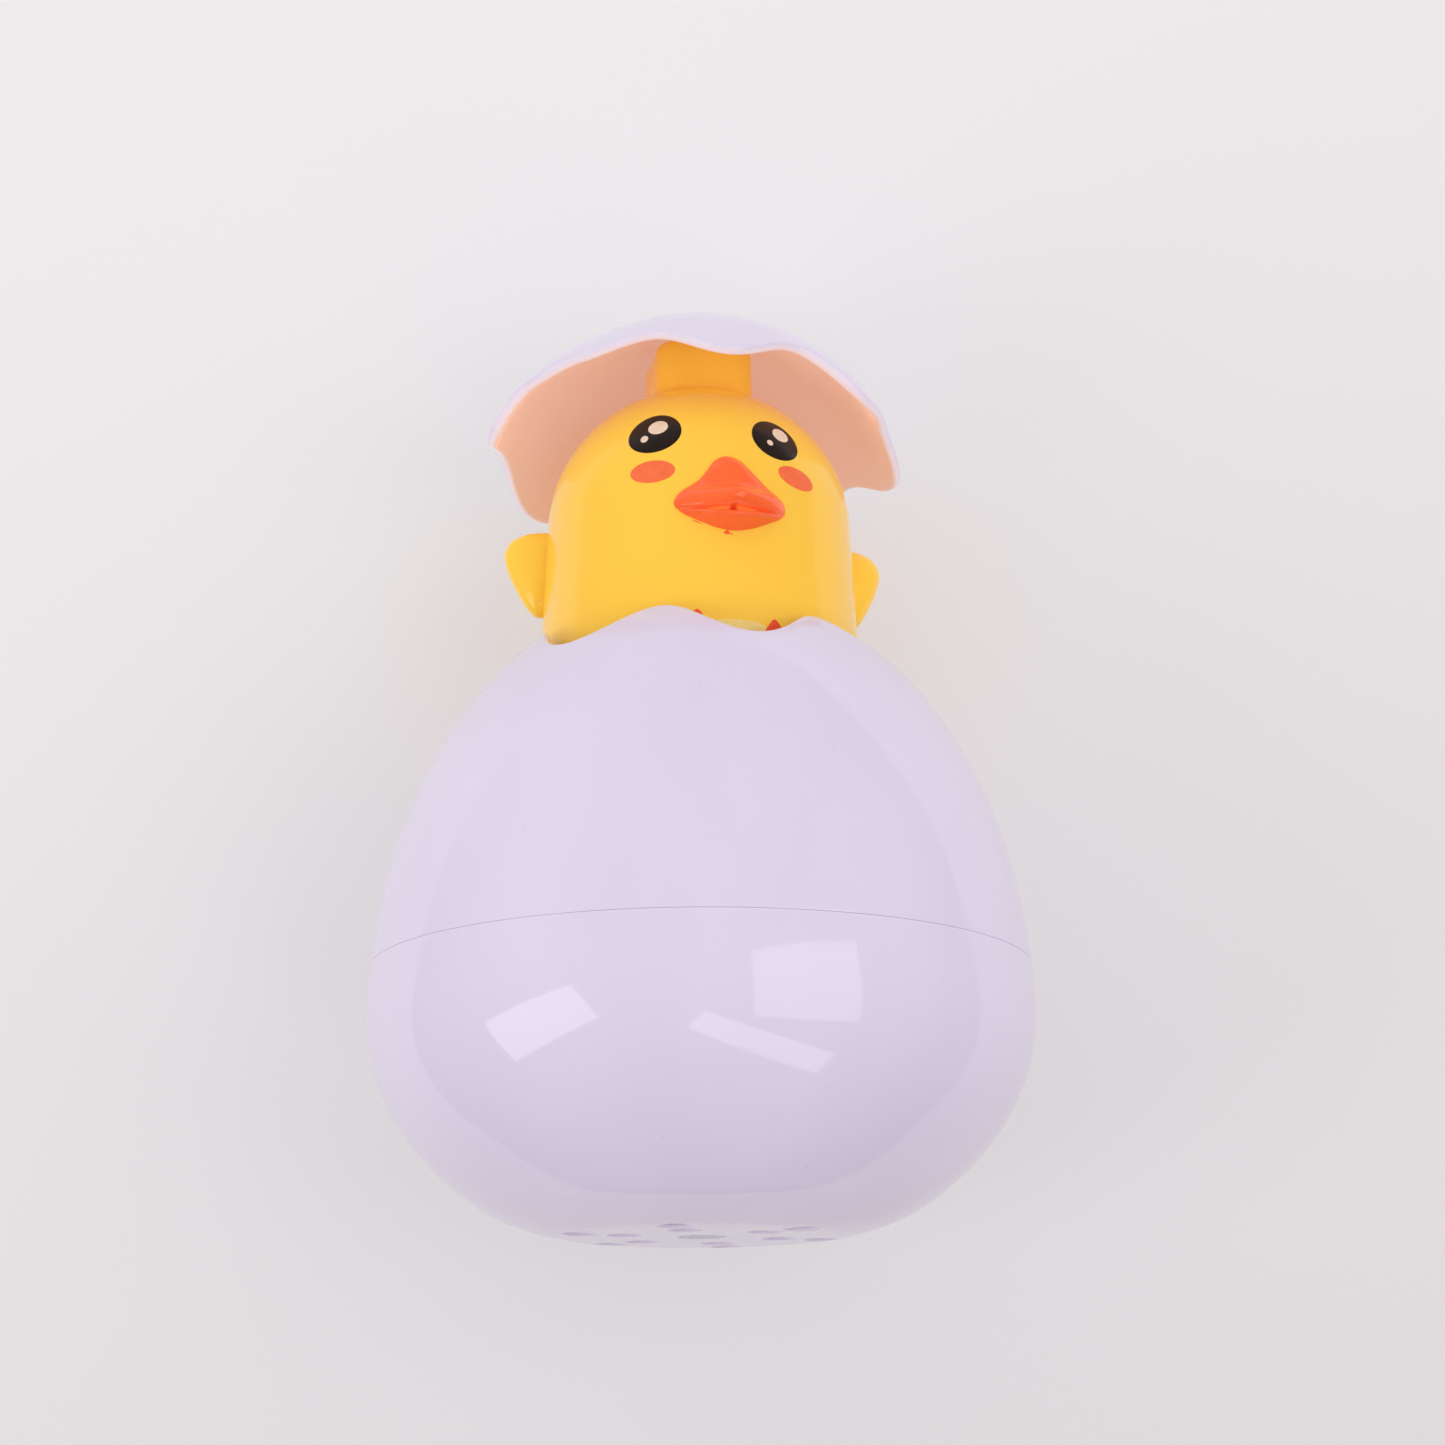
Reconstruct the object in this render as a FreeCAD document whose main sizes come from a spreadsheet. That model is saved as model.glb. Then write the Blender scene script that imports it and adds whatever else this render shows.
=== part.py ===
import FreeCAD, Part

import math
import os
import re

import Sketcher

# Bath toy: a chick that rides up and down inside an egg shell, with a shell cap on its head.
# Millimetres. The origin is the middle of the egg's flat base, +Z runs up the egg's axis, and the
# chick faces -Y. The chick is modelled at the top of its travel.

DIMENSIONS = {
    # egg shell: two half ellipses that meet at the belly
    "egg_radius": 48.0,
    "belly_height": 31.0,
    "crown_rise": 64.5,
    "base_drop": 35.7,
    "belly_wall": 2.0,
    "crown_rise_inner": 63.6,
    "base_drop_inner": 33.6,
    "floor_thickness": 2.2,
    "base_rounding": 23.0,
    "seam_height": 37.4,
    # wavy mouth of the egg
    "mouth_blank_top": 88.0,
    "mouth_middle": 82.4,
    "mouth_wave": 2.7,
    "mouth_lobes": 7,
    "mouth_turn": 4.0,
    "wing_notch_depth": 3.2,
    "wing_notch_spread": 13.0,
    "wing_angle": 99.0,
    # inner tongue that joins the two shells
    "tongue_radius": 45.15,
    "tongue_inner_radius": 43.8,
    "tongue_root_radius": 46.6,
    "tongue_root_height": 32.5,
    "tongue_top": 41.4,
    # water holes in the base
    "hole_radius": 2.2,
    "outer_hole_ring": 18.0,
    "inner_hole_ring": 11.5,
    "outer_hole_turn": -21.8,
    "inner_hole_turn": -21.8,
    # guide post and its screw
    "post_radius": 5.0,
    "post_bore_radius": 3.4,
    "post_top": 75.0,
    "post_plug_top": 14.0,
    "post_foot_radius": 8.5,
    "post_foot_thickness": 2.0,
    "rib_width": 2.0,
    "rib_reach": 6.4,
    "rib_root": 4.0,
    "screw_radius": 1.5,
    "screw_head_radius": 3.0,
    "screw_head_height": 1.1,
    "screw_recess_depth": 1.2,
    "screw_recess_radius": 3.2,
    "post_screw_top": 12.0,
    # chick body
    "body_bottom": 73.5,
    "body_foot_radius": 24.3,
    "head_radius": 22.9,
    "head_centre": 104.9,
    "head_rise": 22.1,
    "body_wall": 1.6,
    "neck_width": 14.8,
    "neck_corner": 3.0,
    "neck_root": 116.0,
    "neck_top": 132.6,
    # beak: a flattened ball, split by the mouth line
    "beak_height": 101.2,
    "beak_upper_rise": 7.6,
    "beak_lower_rise": 4.3,
    "beak_half_width": 8.0,
    "beak_reach": 6.0,
    "beak_seat": 20.5,
    "squirt_height": 99.2,
    "squirt_hole_radius": 0.5,
    "spigot_radius": 1.2,
    "spigot_back": 16.3,
    "spigot_front": 22.6,
    # wings
    "wing_tip_reach": 29.2,
    "wing_top": 104.0,
    "wing_bottom": 90.6,
    "wing_thickness": 5.6,
    "wing_round": 2.2,
    "wing_root_depth": 3.0,
    "wing_shoulder_back": 3.2,
    "wing_shoulder_drop": 0.7,
    "wing_widest_drop": 3.2,
    "wing_point_back": 4.4,
    "wing_point_rise": 1.4,
    "wing_tab_width": 2.4,
    "wing_tab_height": 6.0,
    "wing_tab_bottom": 94.5,
    "wing_tab_inner": 19.6,
    # carrier plate under the chick, with its guide sleeve
    "plate_radius": 33.8,
    "plate_thickness": 2.0,
    "sleeve_radius": 8.2,
    "sleeve_bore_radius": 5.35,
    "sleeve_bottom": 50.0,
    "sleeve_top": 79.0,
    "key_slot_width": 2.7,
    "key_slot_reach": 6.8,
    "port_radius": 2.4,
    "port_ring": 29.4,
    "plate_screw_ring": 16.5,
    "plate_screw_radius": 1.1,
    "plate_screw_head_radius": 2.4,
    "plate_screw_head_height": 1.1,
    "plate_screw_top": 80.5,
    "boss_radius": 3.0,
    "boss_top": 82.0,
    "web_thickness": 1.6,
    "suction_offset": 12.0,
    "suction_spigot_top": 79.0,
    # foam float
    "float_inner_radius": 8.2,
    "float_radius": 25.0,
    "float_height": 12.0,
    "float_port_radius": 3.0,
    # squirt tube
    "tube_radius": 2.0,
    "tube_bend_radius": 4.0,
    "tube_overlap": 4.2,
    # cap
    "cap_centre": 80.0,
    "cap_rise": 59.0,
    "cap_radius": 40.4,
    "cap_rise_inner": 57.5,
    "cap_radius_inner": 38.9,
    "cap_blank_bottom": 112.0,
    "cap_boss_radius": 5.0,
    "cap_boss_top": 137.7,
    "cap_pilot_top": 136.9,
    "cap_screw_radius": 1.3,
    "cap_screw_head_radius": 2.9,
    "cap_screw_head_height": 1.4,
    "cap_screw_top": 136.4,
    # tools that cut or trim, longer and wider than what they work on
    "cut_margin": 1.0,
    "trim_radius": 60.0,
    "trim_inner_radius": 13.0,
    "trim_depth": 30.0,
}

# The cap's rim: azimuth in degrees from the front, turning to the chick's left (+X), and height.
CAP_RIM = [
    (0, 123.5), (25, 126.8), (55, 120.4), (72, 121.0), (93, 115.4), (115, 118.9), (140, 114.5),
    (160, 117.0), (180, 114.6), (201, 117.2), (224, 114.3), (254, 119.4), (271, 117.6),
    (290, 123.4), (308, 125.0), (333, 127.5),
]
WAVE_STEP = 4

doc = FreeCAD.newDocument("hatching_chick")
sheet = doc.addObject("Spreadsheet::Sheet", "Dimensions")
for row, (alias, value) in enumerate(DIMENSIONS.items(), start=1):
    sheet.set(f"A{row}", alias)
    sheet.set(f"B{row}", str(value))
    sheet.setAlias(f"B{row}", alias)
doc.recompute()


def size(alias):
    """The value of one driving dimension."""
    return float(sheet.get(alias))


def cell(expression):
    """Turn 'egg_radius - belly_wall' into an expression that reads the sheet."""
    return re.sub(r"[a-z_]+", lambda word: f"Dimensions.{word[0]}" if word[0] in DIMENSIONS
                  else word[0], expression)


def primitive(kind, name, **sizes):
    """A Part primitive; x, y and z place it and the other names are its own properties."""
    item = doc.addObject(kind, name)
    for key, expression in sizes.items():
        target = f"Placement.Base.{key}" if key in ("x", "y", "z") else key
        item.setExpression(target, cell(expression))
    return item


def cylinder(name, radius, bottom, top, x="0", y="0"):
    return primitive("Part::Cylinder", name, Radius=radius, Height=f"{top} - ( {bottom} )",
                     x=x, y=y, z=bottom)


def ellipsoid(name, radius, rise, centre):
    return primitive("Part::Ellipsoid", name, Radius1=rise, Radius2=radius, z=centre)


def box(name, width, depth, bottom, top, x, y):
    """A box whose centre is at x and whose near side is at y."""
    return primitive("Part::Box", name, Length=width, Width=depth, Height=f"{top} - ( {bottom} )",
                     x=f"{x} - ( {width} ) / 2", y=y, z=bottom)


def cut(name, base, tool):
    item = doc.addObject("Part::Cut", name)
    item.Base = base
    item.Tool = tool
    return item


def fuse(name, *shapes):
    item = doc.addObject("Part::MultiFuse", name)
    item.Shapes = list(shapes)
    return item


def common(name, *shapes):
    item = doc.addObject("Part::MultiCommon", name)
    item.Shapes = list(shapes)
    return item


def slab(name, bottom, top):
    """A wide disc that keeps what lies between two heights."""
    return cylinder(name, "trim_radius", bottom, top)


def plane_of(body, role):
    return next(item for item in body.Origin.OriginFeatures if item.Role == role)


def sketch_at(body, name, height):
    """A horizontal sketch of a body, at a height."""
    sketch = body.newObject("Sketcher::SketchObject", name)
    sketch.AttachmentSupport = [(plane_of(body, "XY_Plane"), "")]
    sketch.MapMode = "FlatFace"
    sketch.setExpression("AttachmentOffset.Base.z", cell(height))
    return sketch


def bind(sketch, constraint, expression):
    index = sketch.addConstraint(constraint)
    sketch.setExpression(f"Constraints[{index}]", cell(expression))


def add_circle(sketch, radius, x=None, y=None):
    """A circle on the sketch's origin, or at x and y."""
    index = sketch.addGeometry(Part.Circle(FreeCAD.Vector(1, 1, 0), FreeCAD.Vector(0, 0, 1), 1))
    bind(sketch, Sketcher.Constraint("Radius", index, 1), radius)
    if x is None:
        sketch.addConstraint(Sketcher.Constraint("Coincident", index, 3, -1, 1))
    else:
        bind(sketch, Sketcher.Constraint("DistanceX", -1, 1, index, 3, 1), x)
        bind(sketch, Sketcher.Constraint("DistanceY", -1, 1, index, 3, 1), y)


def pad(body, sketch, name, length):
    feature = body.newObject("PartDesign::Pad", name)
    feature.Profile = sketch
    feature.setExpression("Length", cell(length))
    return feature


def pocket_up(body, sketch, name, length):
    """A pocket that runs up from its sketch."""
    feature = body.newObject("PartDesign::Pocket", name)
    feature.Profile = sketch
    feature.Reversed = True
    feature.setExpression("Length", cell(length))
    return feature


def polar(body, feature, name, count):
    pattern = body.newObject("PartDesign::PolarPattern", name)
    pattern.Originals = [feature]
    pattern.Axis = (plane_of(body, "Z_Axis"), [""])
    pattern.Angle = 360
    pattern.Occurrences = count
    body.Tip = pattern
    return pattern


def screw_body(name, head_bottom, head_radius, head_height, radius, top):
    """A screw that points up: a flat round head and a plain shank."""
    body = doc.addObject("PartDesign::Body", name)
    head = sketch_at(body, name + "_head_sketch", head_bottom)
    add_circle(head, head_radius)
    pad(body, head, name + "_head", head_height)
    shank = sketch_at(body, name + "_shank_sketch", f"{head_bottom} + {head_height}")
    add_circle(shank, radius)
    pad(body, shank, name + "_shank", f"{top} - ( {head_bottom} + {head_height} )")
    return body


# ---- egg shell -------------------------------------------------------------------------------

def egg_solid(name, radius, drop, rise, bottom, top):
    """A solid egg between two heights: a squat half below the belly, a tall half above it."""
    low = common(name + "_low", ellipsoid(name + "_squat", radius, drop, "belly_height"),
                 slab(name + "_low_slab", bottom, "belly_height"))
    high = common(name + "_high", ellipsoid(name + "_tall", radius, rise, "belly_height"),
                  slab(name + "_high_slab", "belly_height", top))
    return fuse(name, low, high)


def egg_wall(name, bottom, top):
    """The egg's wall between two heights, as one closed surface with its own cavity."""
    outer = egg_solid(name + "_outer", "egg_radius", "base_drop", "crown_rise", "0",
                      "mouth_blank_top")
    inner = egg_solid(name + "_inner", "egg_radius - belly_wall", "base_drop_inner",
                      "crown_rise_inner", "floor_thickness", "mouth_blank_top")
    return common(name, cut(name + "_hollow", outer, inner), slab(name + "_slab", bottom, top))


def hole_ring(name, ring, count, turn):
    """A ring of vertical water holes through the floor."""
    holes = []
    for number in range(count):
        angle = f"( ({turn} + {number} * 360 / {count}) * 1 deg )"
        holes.append(cylinder(f"{name}_{number + 1}", "hole_radius", "-1 * cut_margin",
                              "floor_thickness + cut_margin", x=f"{ring} * sin{angle}",
                              y=f"-1 * {ring} * cos{angle}"))
    return holes


def lower_shell():
    wall = egg_wall("lower_wall", "0", "seam_height")
    root = cut("tongue_root", cylinder("root_disc", "tongue_root_radius", "tongue_root_height",
                                       "seam_height"),
               cylinder("root_bore", "tongue_inner_radius", "tongue_root_height", "seam_height"))
    tongue = cut("tongue", cylinder("tongue_disc", "tongue_radius", "seam_height", "tongue_top"),
                 cylinder("tongue_bore", "tongue_inner_radius", "seam_height", "tongue_top"))
    holes = hole_ring("outer_hole", "outer_hole_ring", 6, "outer_hole_turn")
    holes += hole_ring("inner_hole", "inner_hole_ring", 6, "inner_hole_turn")
    holes.append(cylinder("screw_hole", "screw_radius", "-1 * cut_margin",
                          "floor_thickness + cut_margin"))
    holes.append(cylinder("screw_recess", "screw_recess_radius", "-1 * cut_margin",
                          "screw_recess_depth"))
    doc.recompute()
    rounded = doc.addObject("Part::Fillet", "rounded_wall")
    rounded.Base = wall
    rim = [number for number, edge in enumerate(wall.Shape.Edges, start=1)
           if edge.Closed and abs(edge.CenterOfMass.z) < 1e-6]
    rounded.Edges = [(number, size("base_rounding"), size("base_rounding")) for number in rim]
    shell = cut("lower_shell", fuse("lower_blank", rounded, root, tongue), fuse("holes", *holes))
    shell.Label = "lower_shell"
    return shell


def ring_curve(radius, height_at):
    """A closed smooth curve at one radius, whose height follows the azimuth."""
    points = []
    for azimuth in range(0, 360, WAVE_STEP):
        angle = math.radians(azimuth)
        points.append(FreeCAD.Vector(radius * math.sin(angle), -radius * math.cos(angle),
                                     height_at(azimuth)))
    curve = Part.BSplineCurve()
    curve.interpolate(Points=points, PeriodicFlag=True)
    return curve.toShape()


def wave_tool(name, height_at, depth):
    """A ring with one wavy face; depth is positive to trim above the wave, negative below."""
    face = Part.makeRuledSurface(ring_curve(size("trim_inner_radius"), height_at),
                                 ring_curve(size("trim_radius"), height_at))
    item = doc.addObject("Part::Feature", name)
    item.Shape = face.extrude(FreeCAD.Vector(0, 0, depth))
    return item


def mouth_height(azimuth):
    """The mouth's rim: even lobes, with a deeper notch where each wing passes."""
    turned = azimuth - size("mouth_turn")
    height = size("mouth_middle") - size("mouth_wave") * math.cos(
        math.radians(size("mouth_lobes") * turned))
    for wing in (size("wing_angle"), 360 - size("wing_angle")):
        away = (azimuth - wing) / size("wing_notch_spread")
        height -= size("wing_notch_depth") * math.exp(-away * away)
    return height


def cap_rim_height(azimuth):
    """The cap's rim: a smooth step from each listed point to the next."""
    points = CAP_RIM + [(360, CAP_RIM[0][1])]
    for (start, low), (end, high) in zip(points, points[1:]):
        if start <= azimuth < end:
            share = (azimuth - start) / (end - start)
            return low + (high - low) * (1 - math.cos(math.pi * share)) / 2
    return CAP_RIM[0][1]


def upper_shell():
    wall = egg_wall("upper_wall", "seam_height", "mouth_blank_top")
    shell = cut("upper_shell", wall, wave_tool("mouth_wave_tool", mouth_height,
                                               size("trim_depth")))
    shell.Label = "upper_shell"
    return shell


# ---- guide post ------------------------------------------------------------------------------

def guide_post():
    """A tube that stands on the floor, plugged at the foot for its screw, with a key rib."""
    body = doc.addObject("PartDesign::Body", "post_body")
    foot = sketch_at(body, "post_foot_sketch", "floor_thickness")
    add_circle(foot, "post_foot_radius")
    pad(body, foot, "post_foot", "post_foot_thickness")
    stem = sketch_at(body, "post_stem_sketch", "floor_thickness")
    add_circle(stem, "post_radius")
    pad(body, stem, "post_stem", "post_top - floor_thickness")
    bore = sketch_at(body, "post_bore_sketch", "post_plug_top")
    add_circle(bore, "post_bore_radius")
    pocket_up(body, bore, "post_bore", "post_top - post_plug_top")
    pilot = sketch_at(body, "post_pilot_sketch", "floor_thickness")
    add_circle(pilot, "screw_radius")
    pocket_up(body, pilot, "post_pilot", "post_screw_top - floor_thickness")
    rib = box("post_rib", "rib_width", "rib_reach - rib_root",
              "floor_thickness + post_foot_thickness", "post_top", "0", "rib_root")
    post = fuse("guide_post", body, rib)
    post.Label = "guide_post"
    return post


# ---- chick body ------------------------------------------------------------------------------

def chick_solid(name, inset, bottom):
    """The chick's round body: a slightly tapered drum under an egg-shaped head."""
    drum = primitive("Part::Cone", name + "_drum", Radius1=f"body_foot_radius - ( {inset} )",
                     Radius2=f"head_radius - ( {inset} )", Height=f"head_centre - ( {bottom} )",
                     z=bottom)
    dome = common(name + "_dome", ellipsoid(name + "_head", f"head_radius - ( {inset} )",
                                            f"head_rise - ( {inset} )", "head_centre"),
                  slab(name + "_slab", "head_centre", "neck_top"))
    return fuse(name, drum, dome)


def neck_block(name, inset, bottom, top):
    """The square neck between the head and the cap, with rounded corners."""
    block = box(name + "_block", f"neck_width - 2 * ( {inset} )", f"neck_width - 2 * ( {inset} )",
                bottom, top, "0", f"( {inset} ) - neck_width / 2")
    doc.recompute()
    rounded = doc.addObject("Part::Fillet", name)
    rounded.Base = block
    radius = size("neck_corner") / (1 if inset == "0" else 2)
    upright = [(number, radius, radius) for number, edge in enumerate(block.Shape.Edges, start=1)
               if abs(edge.tangentAt(edge.FirstParameter).z) > 0.9]
    rounded.Edges = upright
    return rounded


def beak_solid():
    """The beak: a ball flattened into a wide bill, higher above the mouth line than below it."""
    parts = []
    halves = (("upper", "beak_upper_rise", "beak_height", "beak_height + beak_upper_rise"),
              ("lower", "beak_lower_rise", "beak_height - beak_lower_rise", "beak_height"))
    for half, rise, bottom, top in halves:
        ball = primitive("Part::Ellipsoid", f"beak_{half}_ball", Radius1=rise,
                         Radius2="beak_half_width", Radius3="beak_reach", z="beak_height",
                         y="-1 * beak_seat")
        parts.append(common(f"beak_{half}", ball, slab(f"beak_{half}_slab", bottom, top)))
    return fuse("beak", *parts)


def ring_places(ring, count, turn):
    """x and y expressions of points spaced evenly on a circle."""
    places = []
    for number in range(count):
        angle = f"( ({turn} + {number} * 360 / {count}) * 1 deg )"
        places.append((f"{ring} * sin{angle}", f"-1 * {ring} * cos{angle}"))
    return places


def along_y(item):
    """Lay a cylinder on its side, pointing to the front."""
    item.Placement = FreeCAD.Placement(item.Placement.Base,
                                       FreeCAD.Rotation(FreeCAD.Vector(1, 0, 0), 90))
    return item


def wing_tab(name, side):
    """The flat tab on a wing's root, which plugs into a slot in the body."""
    tab = box(name, "wing_tab_width", "body_foot_radius + cut_margin - wing_tab_inner",
              "wing_tab_bottom", "wing_tab_bottom + wing_tab_height", "0",
              "-1 * body_foot_radius - cut_margin")
    turn = FreeCAD.Rotation(FreeCAD.Vector(0, 0, 1), side * size("wing_angle"))
    holder = doc.addObject("Part::Compound", name + "_turned")
    holder.Links = [tab]
    holder.Placement = FreeCAD.Placement(FreeCAD.Vector(), turn)
    return holder


def chick_body():
    outer = fuse("chick_outer", chick_solid("chick_skin", "0", "body_bottom"),
                 neck_block("neck_outer", "0", "neck_root", "neck_top"), beak_solid())
    inner = fuse("chick_inner", chick_solid("chick_room", "body_wall", "body_bottom"),
                 neck_block("neck_inner", "body_wall", "head_centre", "neck_top - body_wall"))
    hollow = cut("chick_hollow", outer, inner)
    added = []
    holes = []
    for number, (x, y) in enumerate(ring_places("plate_screw_ring", 3, "60"), start=1):
        post = cylinder(f"boss_{number}", "boss_radius", "body_bottom", "boss_top", x=x, y=y)
        web = box(f"web_{number}_flat", "web_thickness",
                  "body_foot_radius - body_wall / 2 - plate_screw_ring", "body_bottom", "boss_top",
                  "0", "-1 * body_foot_radius + body_wall / 2")
        holder = doc.addObject("Part::Compound", f"web_{number}")
        holder.Links = [web]
        turn = FreeCAD.Rotation(FreeCAD.Vector(0, 0, 1), 60 + 120 * (number - 1))
        holder.Placement = FreeCAD.Placement(FreeCAD.Vector(), turn)
        added += [post, holder]
        holes.append(cylinder(f"pilot_{number}", "plate_screw_radius", "body_bottom - cut_margin",
                              "plate_screw_top", x=x, y=y))
    spigot = along_y(primitive("Part::Cylinder", "spigot", Radius="spigot_radius",
                               Height="spigot_front - spigot_back", y="-1 * spigot_back",
                               z="squirt_height"))
    squirt = along_y(primitive("Part::Cylinder", "squirt_hole", Radius="squirt_hole_radius",
                               Height="trim_radius", z="squirt_height"))
    holes += [squirt, wing_tab("slot_left", 1), wing_tab("slot_right", -1)]
    holes.append(cylinder("cap_screw_hole", "cap_screw_radius", "neck_top - 3 * body_wall",
                          "neck_top + cut_margin"))
    body = cut("chick_body", fuse("chick_full", hollow, spigot, *added), fuse("cuts", *holes))
    body.Label = "chick_body"
    return body


def wing(label, side):
    """A leaf-shaped wing: broad at the top, pointed below, with a tab through the body's wall."""
    body = doc.addObject("PartDesign::Body", label + "_leaf")
    sketch = body.newObject("Sketcher::SketchObject", label + "_outline")
    sketch.AttachmentSupport = [(plane_of(body, "YZ_Plane"), "")]
    sketch.MapMode = "FlatFace"
    # each corner of the outline: how far out from the egg's axis, and how high
    corners = [
        ("head_radius - wing_root_depth", "wing_top"),
        ("wing_tip_reach - wing_shoulder_back", "wing_top - wing_shoulder_drop"),
        ("wing_tip_reach", "wing_top - wing_widest_drop"),
        ("wing_tip_reach - wing_point_back", "wing_bottom + wing_point_rise"),
        ("head_radius - wing_root_depth", "wing_bottom"),
    ]
    root = -(size("head_radius") - size("wing_root_depth"))
    places = [
        (root, size("wing_top")),
        (-size("wing_tip_reach") + size("wing_shoulder_back"),
         size("wing_top") - size("wing_shoulder_drop")),
        (-size("wing_tip_reach"), size("wing_top") - size("wing_widest_drop")),
        (-size("wing_tip_reach") + size("wing_point_back"),
         size("wing_bottom") + size("wing_point_rise")),
        (root, size("wing_bottom")),
    ]
    for start, end in zip(places, places[1:] + places[:1]):
        sketch.addGeometry(Part.LineSegment(FreeCAD.Vector(*start, 0), FreeCAD.Vector(*end, 0)))
    count = len(corners)
    for index in range(count):
        sketch.addConstraint(Sketcher.Constraint("Coincident", index, 2, (index + 1) % count, 1))
    for index, (out, height) in enumerate(corners):
        bind(sketch, Sketcher.Constraint("DistanceX", index, 1, -1, 1, 1), out)
        bind(sketch, Sketcher.Constraint("DistanceY", -1, 1, index, 1, 1), height)
    leaf = pad(body, sketch, label + "_pad", "wing_thickness")
    leaf.Midplane = True
    doc.recompute()
    rounding = body.newObject("PartDesign::Fillet", label + "_rounding")
    outer = [f"Edge{number}" for number, edge in enumerate(leaf.Shape.Edges, start=1)
             if edge.CenterOfMass.y < root - size("cut_margin")]
    rounding.Base = (leaf, outer)
    rounding.setExpression("Radius", cell("wing_round"))
    turned = doc.addObject("Part::Compound", label + "_turned_leaf")
    turned.Links = [body]
    turn = FreeCAD.Rotation(FreeCAD.Vector(0, 0, 1), side * size("wing_angle"))
    turned.Placement = FreeCAD.Placement(FreeCAD.Vector(), turn)
    trimmed = cut(label + "_trimmed", turned, chick_solid(label + "_seat", "0", "body_bottom"))
    tab = common(label + "_tab_end", wing_tab(label + "_tab", side),
                 chick_solid(label + "_socket", "0", "body_bottom"))
    item = fuse(label, trimmed, tab)
    item.Label = label
    return item


# ---- carrier plate, float and tube -----------------------------------------------------------

def carrier_plate():
    """The plate that closes the chick, with the sleeve that runs on the guide post."""
    body = doc.addObject("PartDesign::Body", "plate_body")
    disc = sketch_at(body, "plate_sketch", "body_bottom - plate_thickness")
    add_circle(disc, "plate_radius")
    pad(body, disc, "plate_disc", "plate_thickness")
    tube = sketch_at(body, "sleeve_sketch", "sleeve_bottom")
    add_circle(tube, "sleeve_radius")
    pad(body, tube, "sleeve", "sleeve_top - sleeve_bottom")
    spigot = sketch_at(body, "suction_sketch", "body_bottom - plate_thickness")
    add_circle(spigot, "spigot_radius", x="0", y="-1 * suction_offset")
    pad(body, spigot, "suction_spigot", "suction_spigot_top - body_bottom + plate_thickness")
    bore = sketch_at(body, "sleeve_bore_sketch", "sleeve_bottom")
    add_circle(bore, "sleeve_bore_radius")
    pocket_up(body, bore, "sleeve_bore", "sleeve_top - sleeve_bottom")
    port = sketch_at(body, "port_sketch", "body_bottom - plate_thickness")
    add_circle(port, "port_radius", x="port_ring", y="0")
    first_port = pocket_up(body, port, "port", "plate_thickness")
    polar(body, first_port, "ports", 6)
    below = "body_bottom - plate_thickness - cut_margin"
    holes = [cylinder("suction_hole", "squirt_hole_radius", below, "sleeve_top + cut_margin",
                      y="-1 * suction_offset"),
             box("key_slot", "key_slot_width", "key_slot_reach", "sleeve_bottom - cut_margin",
                 "sleeve_top + cut_margin", "0", "0")]
    for number, (x, y) in enumerate(ring_places("plate_screw_ring", 3, "60"), start=1):
        holes.append(cylinder(f"plate_hole_{number}", "plate_screw_radius", below,
                              "body_bottom + cut_margin", x=x, y=y))
        holes.append(cylinder(f"plate_recess_{number}", "plate_screw_head_radius", below,
                              "body_bottom - plate_thickness + plate_screw_head_height", x=x, y=y))
    plate = cut("carrier_plate", body, fuse("plate_holes", *holes))
    plate.Label = "carrier_plate"
    return plate


def foam_float():
    """A ring of closed-cell foam glued under the plate."""
    top = "body_bottom - plate_thickness"
    ring = cylinder("float_ring", "float_radius", f"{top} - float_height", top)
    span = (f"{top} - float_height - cut_margin", f"{top} + cut_margin")
    holes = fuse("float_holes", cylinder("float_bore", "float_inner_radius", *span),
                 cylinder("float_port", "float_port_radius", *span, y="-1 * suction_offset"))
    item = cut("foam_float", ring, holes)
    item.Label = "foam_float"
    return item


def squirt_tube():
    """Soft tube from the plate's spigot up to the spigot behind the beak, with one bend."""
    low = FreeCAD.Vector(0, -size("suction_offset"), size("body_bottom"))
    bend = size("tube_bend_radius")
    height = size("squirt_height")
    front = -(size("spigot_back") + size("tube_overlap"))
    centre = FreeCAD.Vector(0, low.y - bend, height - bend)
    start = FreeCAD.Vector(0, low.y, height - bend)
    middle = centre + FreeCAD.Vector(0, bend * math.sqrt(0.5), bend * math.sqrt(0.5))
    end = FreeCAD.Vector(0, centre.y, height)
    runs = [Part.LineSegment(low, start).toShape(), Part.Arc(start, middle, end).toShape(),
            Part.LineSegment(end, FreeCAD.Vector(0, front, height)).toShape()]
    path = Part.Wire(runs)
    solids = []
    for radius in (size("tube_radius"), size("spigot_radius")):
        section = Part.Wire([Part.Circle(low, FreeCAD.Vector(0, 0, 1), radius).toShape()])
        solids.append(path.makePipeShell([section], True, False))
    item = doc.addObject("Part::Feature", "squirt_tube")
    item.Shape = solids[0].cut(solids[1])
    item.Label = "squirt_tube"
    return item


def plate_screws():
    """Three equal screws that hold the plate to the chick's bosses."""
    screws = []
    bottom = "body_bottom - plate_thickness"
    for number, (x, y) in enumerate(ring_places("plate_screw_ring", 3, "60"), start=1):
        screw = screw_body(f"plate_screw_{number}", bottom, "plate_screw_head_radius",
                               "plate_screw_head_height", "plate_screw_radius", "plate_screw_top")
        screw.setExpression("Placement.Base.x", cell(x))
        screw.setExpression("Placement.Base.y", cell(y))
        screws.append(screw)
    group = doc.addObject("Part::Compound", "plate_screws")
    group.Links = screws
    group.Label = "plate_screws"
    return group


# ---- cap -------------------------------------------------------------------------------------

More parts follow.
